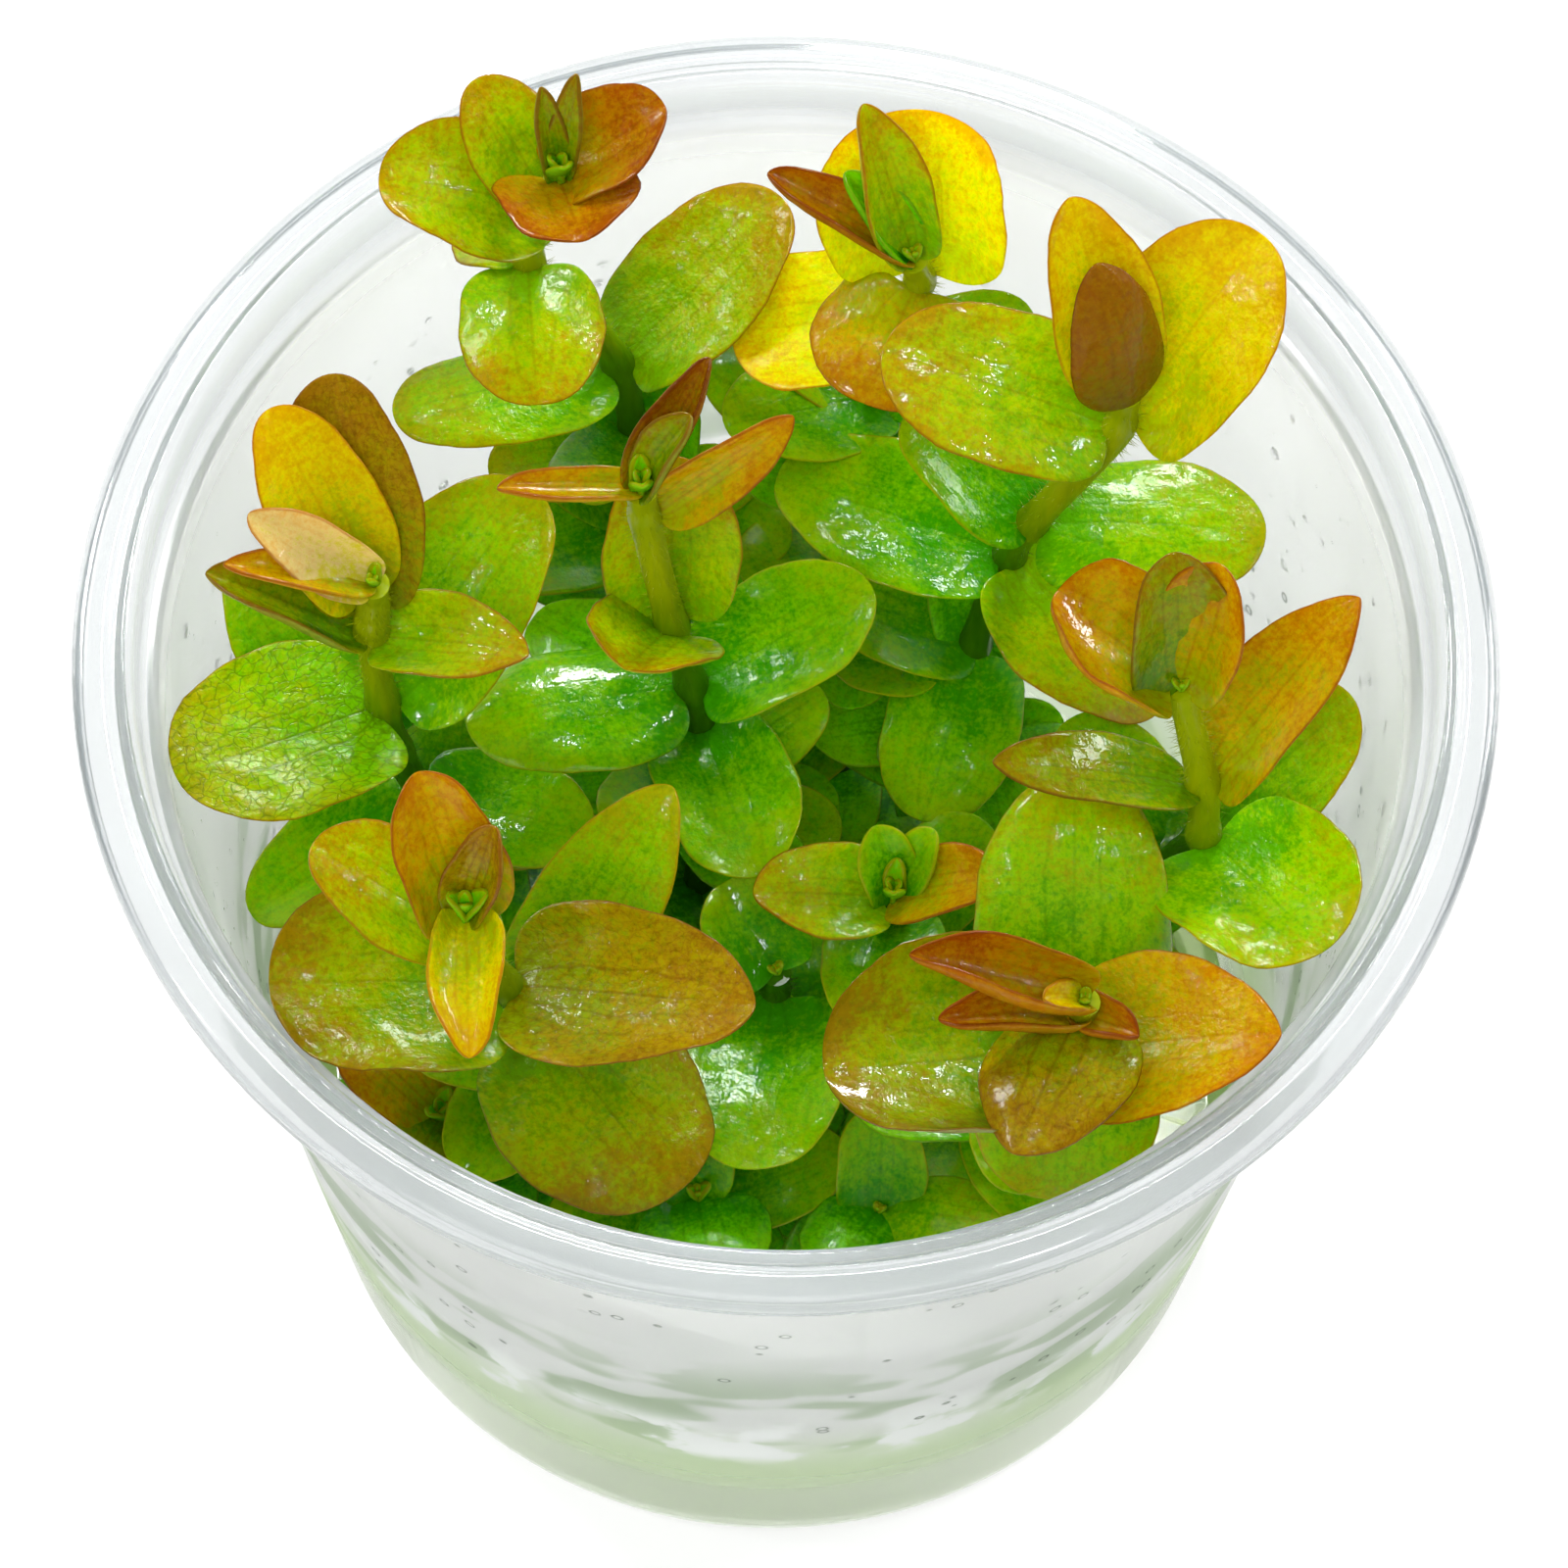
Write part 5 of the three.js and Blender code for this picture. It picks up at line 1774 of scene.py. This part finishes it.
@dataclass
class Cup:
    """The see-through cup: a tapered body, a rounded foot, a step, a bead, a groove and a wide brim."""

    foot_ring_radius: float = 30.0
    lip_radius: float = 45.3
    groove_radius: float = 47.0
    groove_depth: float = 0.5
    skirt_drop: float = 1.6
    corner: float = 0.5
    sides: int = 144
    lowest_drop: float = 22.0
    highest_drop: float = 80.0
    dry_from: float = 76.0

    def build(self, wardrobe: Wardrobe, drops: DropRecipe) -> None:
        """Builds the cup and the drops on its wall.

        Args:
            wardrobe: The materials.
            drops: The recipe of the drops.
        """
        rounded = round_corners(self._section(), self.corner)
        settle(lathe("cup_shell", rounded, self.sides, wardrobe.cup), "cup_plastic", "cup")
        self._build_drops(wardrobe, drops)

    def _section(self) -> list[tuple[float, float]]:
        """Returns the wall's section as radius and height, from the floor up and back down outside.

        Returns:
            Rows in millimetres that start and end on the axis.
        """
        inside = [
            (0.0, FOOT_RING_RISE + WALL),
            (self.foot_ring_radius + 1, FOOT_RING_RISE + WALL),
            (BASE_RADIUS - BASE_FILLET, FOOT_RING_RISE + WALL + 0.1),
            (wall_radius(BASE_FILLET + WALL) - WALL, BASE_FILLET + WALL),
            (NECK_RADIUS - WALL, NECK_HEIGHT),
            (self.lip_radius, NECK_HEIGHT + 0.6),
            (self.lip_radius + 0.3, RIM_HEIGHT),
            (self.lip_radius + 0.8, RIM_HEIGHT + 0.8),
            (self.groove_radius - 0.5, RIM_HEIGHT + 0.7),
            (self.groove_radius, RIM_HEIGHT + 0.7 - self.groove_depth),
            (self.groove_radius + 0.5, RIM_HEIGHT + 0.7),
            (RIM_RADIUS - 0.6, RIM_HEIGHT + 0.4),
            (RIM_RADIUS, RIM_HEIGHT - 0.2),
        ]
        outside = [
            (RIM_RADIUS - 0.1, RIM_HEIGHT - self.skirt_drop),
            (RIM_RADIUS - 0.8, RIM_HEIGHT - self.skirt_drop),
            (RIM_RADIUS - 0.9, RIM_HEIGHT - WALL),
            (self.lip_radius + WALL + 0.4, RIM_HEIGHT - WALL),
            (self.lip_radius + WALL, NECK_HEIGHT + 0.4),
            (NECK_RADIUS, NECK_HEIGHT - 0.4),
            (wall_radius(BASE_FILLET), BASE_FILLET),
            (BASE_RADIUS - 0.3 * BASE_FILLET, 0.3 * BASE_FILLET),
            (BASE_RADIUS - BASE_FILLET, 0.0),
            (self.foot_ring_radius + 1, 0.0),
            (self.foot_ring_radius, FOOT_RING_RISE),
            (0.0, FOOT_RING_RISE),
        ]
        return inside + outside

    def _build_drops(self, wardrobe: Wardrobe, drops: DropRecipe) -> None:
        """Scatters condensed water over the inside of the wall, thickest at the front and the sides.

        Args:
            wardrobe: The materials.
            drops: The recipe of the drops.
        """
        rings = np.linspace(self.lowest_drop, self.highest_drop, 30)
        turns = np.radians(np.arange(0, 360, 5))
        points, damp = [], []
        for z in rings:
            for turn in turns:
                radius = wall_radius(z) - WALL
                points.append((radius * math.cos(turn) * MM, radius * math.sin(turn) * MM, z * MM))
                front = max(0.0, -math.sin(turn))
                sides = abs(math.cos(turn)) ** 4
                damp.append(min(1.0, 0.1 + 0.7 * front + 0.6 * sides) * (1.0 if z < self.dry_from else 0.3))
        count = len(turns)
        faces = []
        for i in range(len(rings) - 1):
            for j in range(count):
                low, high = i * count, (i + 1) * count
                faces.append((low + j, high + j, high + (j + 1) % count, low + (j + 1) % count))
        mesh = bpy.data.meshes.new("wall_drops")
        mesh.from_pydata(points, [], faces)
        mesh.attributes.new("damp", "FLOAT", "POINT").data.foreach_set("value", damp)
        values = {
            "Density": 9.0e4,
            "Smallest": 0.12 * MM,
            "Largest": 0.6 * MM,
            "Seed": 7,
            "Material": wardrobe.water,
        }
        settle(drops.apply(place("wall_drops", mesh), values), "cup_plastic")


@dataclass
class Agar:
    """The gel in the foot of the cup, drawn up at the wall, with the roots in it."""

    gap: float = 0.3
    meniscus: float = 0.5
    corner: float = 0.5
    sides: int = 96
    root_count: int = 90
    root_radius: float = 0.22
    root_steps: int = 14
    root_stride: float = 2.6
    root_cover: float = 1.4
    lowest_root: float = 2.6

    def build(self, wardrobe: Wardrobe, tube: TubeRecipe, feet: list[tuple[float, float]]) -> None:
        """Builds the gel and the roots.

        Args:
            wardrobe: The materials.
            tube: The recipe of the roots.
            feet: Where the stems stand.
        """
        low = FOOT_RING_RISE + WALL + self.gap
        clear = WALL + self.gap
        section = [
            (0.0, low),
            (BASE_RADIUS - BASE_FILLET - self.gap, low + 0.1),
            (wall_radius(BASE_FILLET + 1) - clear - 0.3, BASE_FILLET + 1 + self.gap),
            (wall_radius(AGAR_TOP) - clear, AGAR_TOP + self.meniscus),
            (wall_radius(AGAR_TOP) - clear - 1.5, AGAR_TOP),
            (0.0, AGAR_TOP),
        ]
        rounded = round_corners(section[::-1], self.corner)
        settle(lathe("agar_gel_block", rounded, self.sides, wardrobe.gel), "agar_gel", "agar")
        self._build_roots(wardrobe, tube, feet)

    def _build_roots(self, wardrobe: Wardrobe, tube: TubeRecipe, feet: list[tuple[float, float]]) -> None:
        """Grows thin roots from the stems' feet out towards the wall and down.

        Args:
            wardrobe: The materials.
            tube: The recipe of the roots.
            feet: Where the stems stand.
        """
        chance = random.Random(11)
        lines = []
        for number in range(self.root_count):
            foot = feet[number % len(feet)]
            heading = chance.uniform(0, 2 * math.pi) if number % 3 else chance.uniform(-2.4, -0.7)
            spot = np.array([foot[0], foot[1], AGAR_TOP - 0.5])
            line = [spot]
            drop = chance.uniform(-0.4, -0.08)
            for _ in range(self.root_steps):
                heading += chance.uniform(-0.25, 0.25)
                drop = min(0.1, drop + chance.uniform(-0.03, 0.035))
                step = np.array([math.cos(heading), math.sin(heading), drop]) * self.root_stride
                spot = spot + step
                spot[2] = min(max(spot[2], self.lowest_root), AGAR_TOP - 0.6)
                reach = math.hypot(spot[0], spot[1])
                limit = wall_radius(spot[2]) - self.root_cover
                if reach > limit:
                    spot[:2] *= limit / reach
                line.append(spot)
            lines.append(np.array(line))
        count = self.root_steps + 1
        girth = [self.root_radius * MM * (1.2 - i / count) for _ in lines for i in range(count)]
        piece = guide_lines("agar_roots", lines, {"girth": girth, "hair": [0.0] * len(girth)})
        values = {
            "Sides": 5,
            "Hair density": 0.0,
            "Hair length": 0.5 * MM,
            "Hair radius": 0.02 * MM,
            "Seed": 1,
            "Material": wardrobe.root,
        }
        settle(tube.apply(piece, values), "agar_gel")


def wall_radius(z: float) -> float:
    """Returns the cup's outer radius at a height, both in millimetres."""
    slope = (NECK_RADIUS - BASE_RADIUS) / (NECK_HEIGHT - BASE_FILLET)
    return BASE_RADIUS + slope * (z - BASE_FILLET)


def round_corners(section: list[tuple[float, float]], reach: float) -> list[tuple[float, float]]:
    """Rounds the corners of a section.

    Args:
        section: Radius and height of each corner. The first and last stay.
        reach: How far from a corner its rounding starts, in millimetres.

    Returns:
        The section with three points in place of each corner.
    """
    rounded = [section[0]]
    for before, corner, after in zip(section, section[1:], section[2:]):
        here = np.array(corner)
        ends = []
        for other in (before, after):
            way = np.array(other) - here
            length = np.linalg.norm(way)
            ends.append(here + way / length * min(reach, length * 0.42))
        middle = (ends[0] + 2 * here + ends[1]) / 4
        rounded += [tuple(ends[0]), tuple(middle), tuple(ends[1])]
    return rounded + [section[-1]]


def lathe(
    name: str, section: list[tuple[float, float]], sides: int, material: bpy.types.Material
) -> bpy.types.Object:
    """Turns a section round the cup's axis into a closed piece.

    Args:
        name: The piece's name.
        section: Radius and height of each point. The first and last lie on the axis, and going along
            it the solid lies to the right in a view with the radius to the right and height up.
        sides: Faces around.
        material: What it is made of.

    Returns:
        The new object, facing out.
    """
    turns = [2 * math.pi * j / sides for j in range(sides)]
    rings = section[1:-1]
    points = [(0.0, 0.0, section[0][1] * MM)]
    for radius, z in rings:
        points += [(radius * math.cos(t) * MM, radius * math.sin(t) * MM, z * MM) for t in turns]
    points.append((0.0, 0.0, section[-1][1] * MM))
    faces = []
    last = len(points) - 1
    for j in range(sides):
        nxt = (j + 1) % sides
        faces.append((0, 1 + j, 1 + nxt))
        for i in range(len(rings) - 1):
            low, high = 1 + i * sides, 1 + (i + 1) * sides
            faces.append((low + j, high + j, high + nxt, low + nxt))
        faces.append((last, last - sides + nxt, last - sides + j))
    mesh = bpy.data.meshes.new(name)
    mesh.from_pydata(points, [], faces)
    mesh.materials.append(material)
    mesh.polygons.foreach_set("use_smooth", [True] * len(mesh.polygons))
    mesh.update()
    return place(name, mesh)


@dataclass
class Studio:
    """The floor, the lights and the camera."""

    camera_distance: float = 450.0
    camera_rise: float = 62.92
    pitch: float = 64.19
    yaw: float = 0.04
    roll: float = 1.917
    focal_pixels: float = 6567.0
    image_pixels: float = 1600.0

    def build(self) -> None:
        """Builds the floor, the lights and the camera."""
        self._build_floor()
        self._build_lights()
        self._build_camera()

    def _build_floor(self) -> None:
        """Lays the pale floor, a white board that is faintly lit from within."""
        size = 2.5
        mesh = bpy.data.meshes.new("studio_floor")
        corners = [(-size, -size, 0.0), (size, -size, 0.0), (size, size, 0.0), (-size, size, 0.0)]
        mesh.from_pydata(corners, [], [(0, 1, 2, 3)])
        mesh.materials.append(BoardFinish().build())
        place("studio_floor", mesh)

    def _build_lights(self) -> None:
        """Sets a white surround and soft lights behind, above and beside the cup."""
        world = bpy.data.worlds.new("white surround")
        world.use_nodes = True
        world.node_tree.nodes["Background"].inputs["Color"].default_value = (1.0, 1.0, 1.0, 1.0)
        world.node_tree.nodes["Background"].inputs["Strength"].default_value = 0.06
        bpy.context.scene.world = world
        self._light("back panel", (0.08, 0.6, 0.5), 0.14, 4.2)
        self._light("right panel", (0.6, 0.3, 0.42), 0.14, 2.2)
        self._light("left panel", (-0.5, 0.35, 0.5), 0.14, 2.2)
        spots = [
            (0.3, 0.5, 0.6),
            (-0.3, 0.5, 0.6),
            (0.0, 0.35, 0.8),
            (0.5, 0.05, 0.65),
            (-0.5, -0.05, 0.6),
            (0.2, -0.1, 0.9),
        ]
        for number, spot in enumerate(spots):
            self._light(f"small lamp {number}", spot, 0.05, 0.6)
        self._light("top panel", (-0.15, -0.45, 0.85), 0.6, 7.5, mirrored=False)
        self._light("front panel", (0.0, -0.7, 0.12), 0.5, 2.5, mirrored=False)

    @staticmethod
    def _light(
        name: str, spot: tuple[float, float, float], size: float, power: float, mirrored: bool = True
    ) -> None:
        """Sets one square soft light that faces the cup.

        Args:
            name: The light's name.
            spot: Its place in metres.
            size: Its side in metres.
            power: Its power in watts.
            mirrored: Whether glossy skin shows its reflection, or it only brightens.
        """
        lamp = bpy.data.lights.new(name, "AREA")
        lamp.size = size
        lamp.energy = power
        item = bpy.data.objects.new(name, lamp)
        item.location = spot
        item.visible_glossy = mirrored
        aim = Vector((0.0, 0.0, 0.06)) - Vector(spot)
        item.rotation_euler = aim.to_track_quat("-Z", "Y").to_euler()
        bpy.context.scene.collection.objects.link(item)

    def _build_camera(self) -> None:
        """Sets the camera at the photograph's place, above the front of the cup."""
        rise, pitch = math.radians(self.camera_rise), math.radians(self.pitch)
        yaw, roll = math.radians(self.yaw), math.radians(self.roll)
        ahead = Vector((math.sin(yaw) * math.cos(pitch), math.cos(yaw) * math.cos(pitch), -math.sin(pitch)))
        level = Vector((math.cos(yaw), -math.sin(yaw), 0.0))
        above = level.cross(ahead)
        right = level * math.cos(roll) + above * math.sin(roll)
        up = above * math.cos(roll) - level * math.sin(roll)
        spot = Vector((0.0, -math.cos(rise), math.sin(rise))) * self.camera_distance
        spot.z += RIM_HEIGHT
        lens = bpy.data.cameras.new("photo camera")
        lens.sensor_width = 36.0
        lens.lens = self.focal_pixels / self.image_pixels * lens.sensor_width
        lens.clip_start = 0.01
        camera = bpy.data.objects.new("photo camera", lens)
        turn = Matrix((right, up, -ahead)).transposed().to_4x4()
        camera.matrix_world = Matrix.Translation(spot * MM) @ turn
        bpy.context.scene.collection.objects.link(camera)
        bpy.context.scene.camera = camera


def main() -> None:
    """Builds the scene."""
    logging.basicConfig(level=logging.INFO, format="%(name)s: %(message)s")
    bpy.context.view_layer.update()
    bpy.context.scene.view_settings.view_transform = "Standard"
    wardrobe = Wardrobe()
    tube = TubeRecipe()
    drops = DropRecipe()
    Studio().build()
    Cup().build(wardrobe, drops)
    Agar().build(wardrobe, tube, [shoot.foot for shoot in SHOOTS])
    for shoot in SHOOTS:
        shoot.build(wardrobe, tube)


if __name__ == "__main__":
    main()
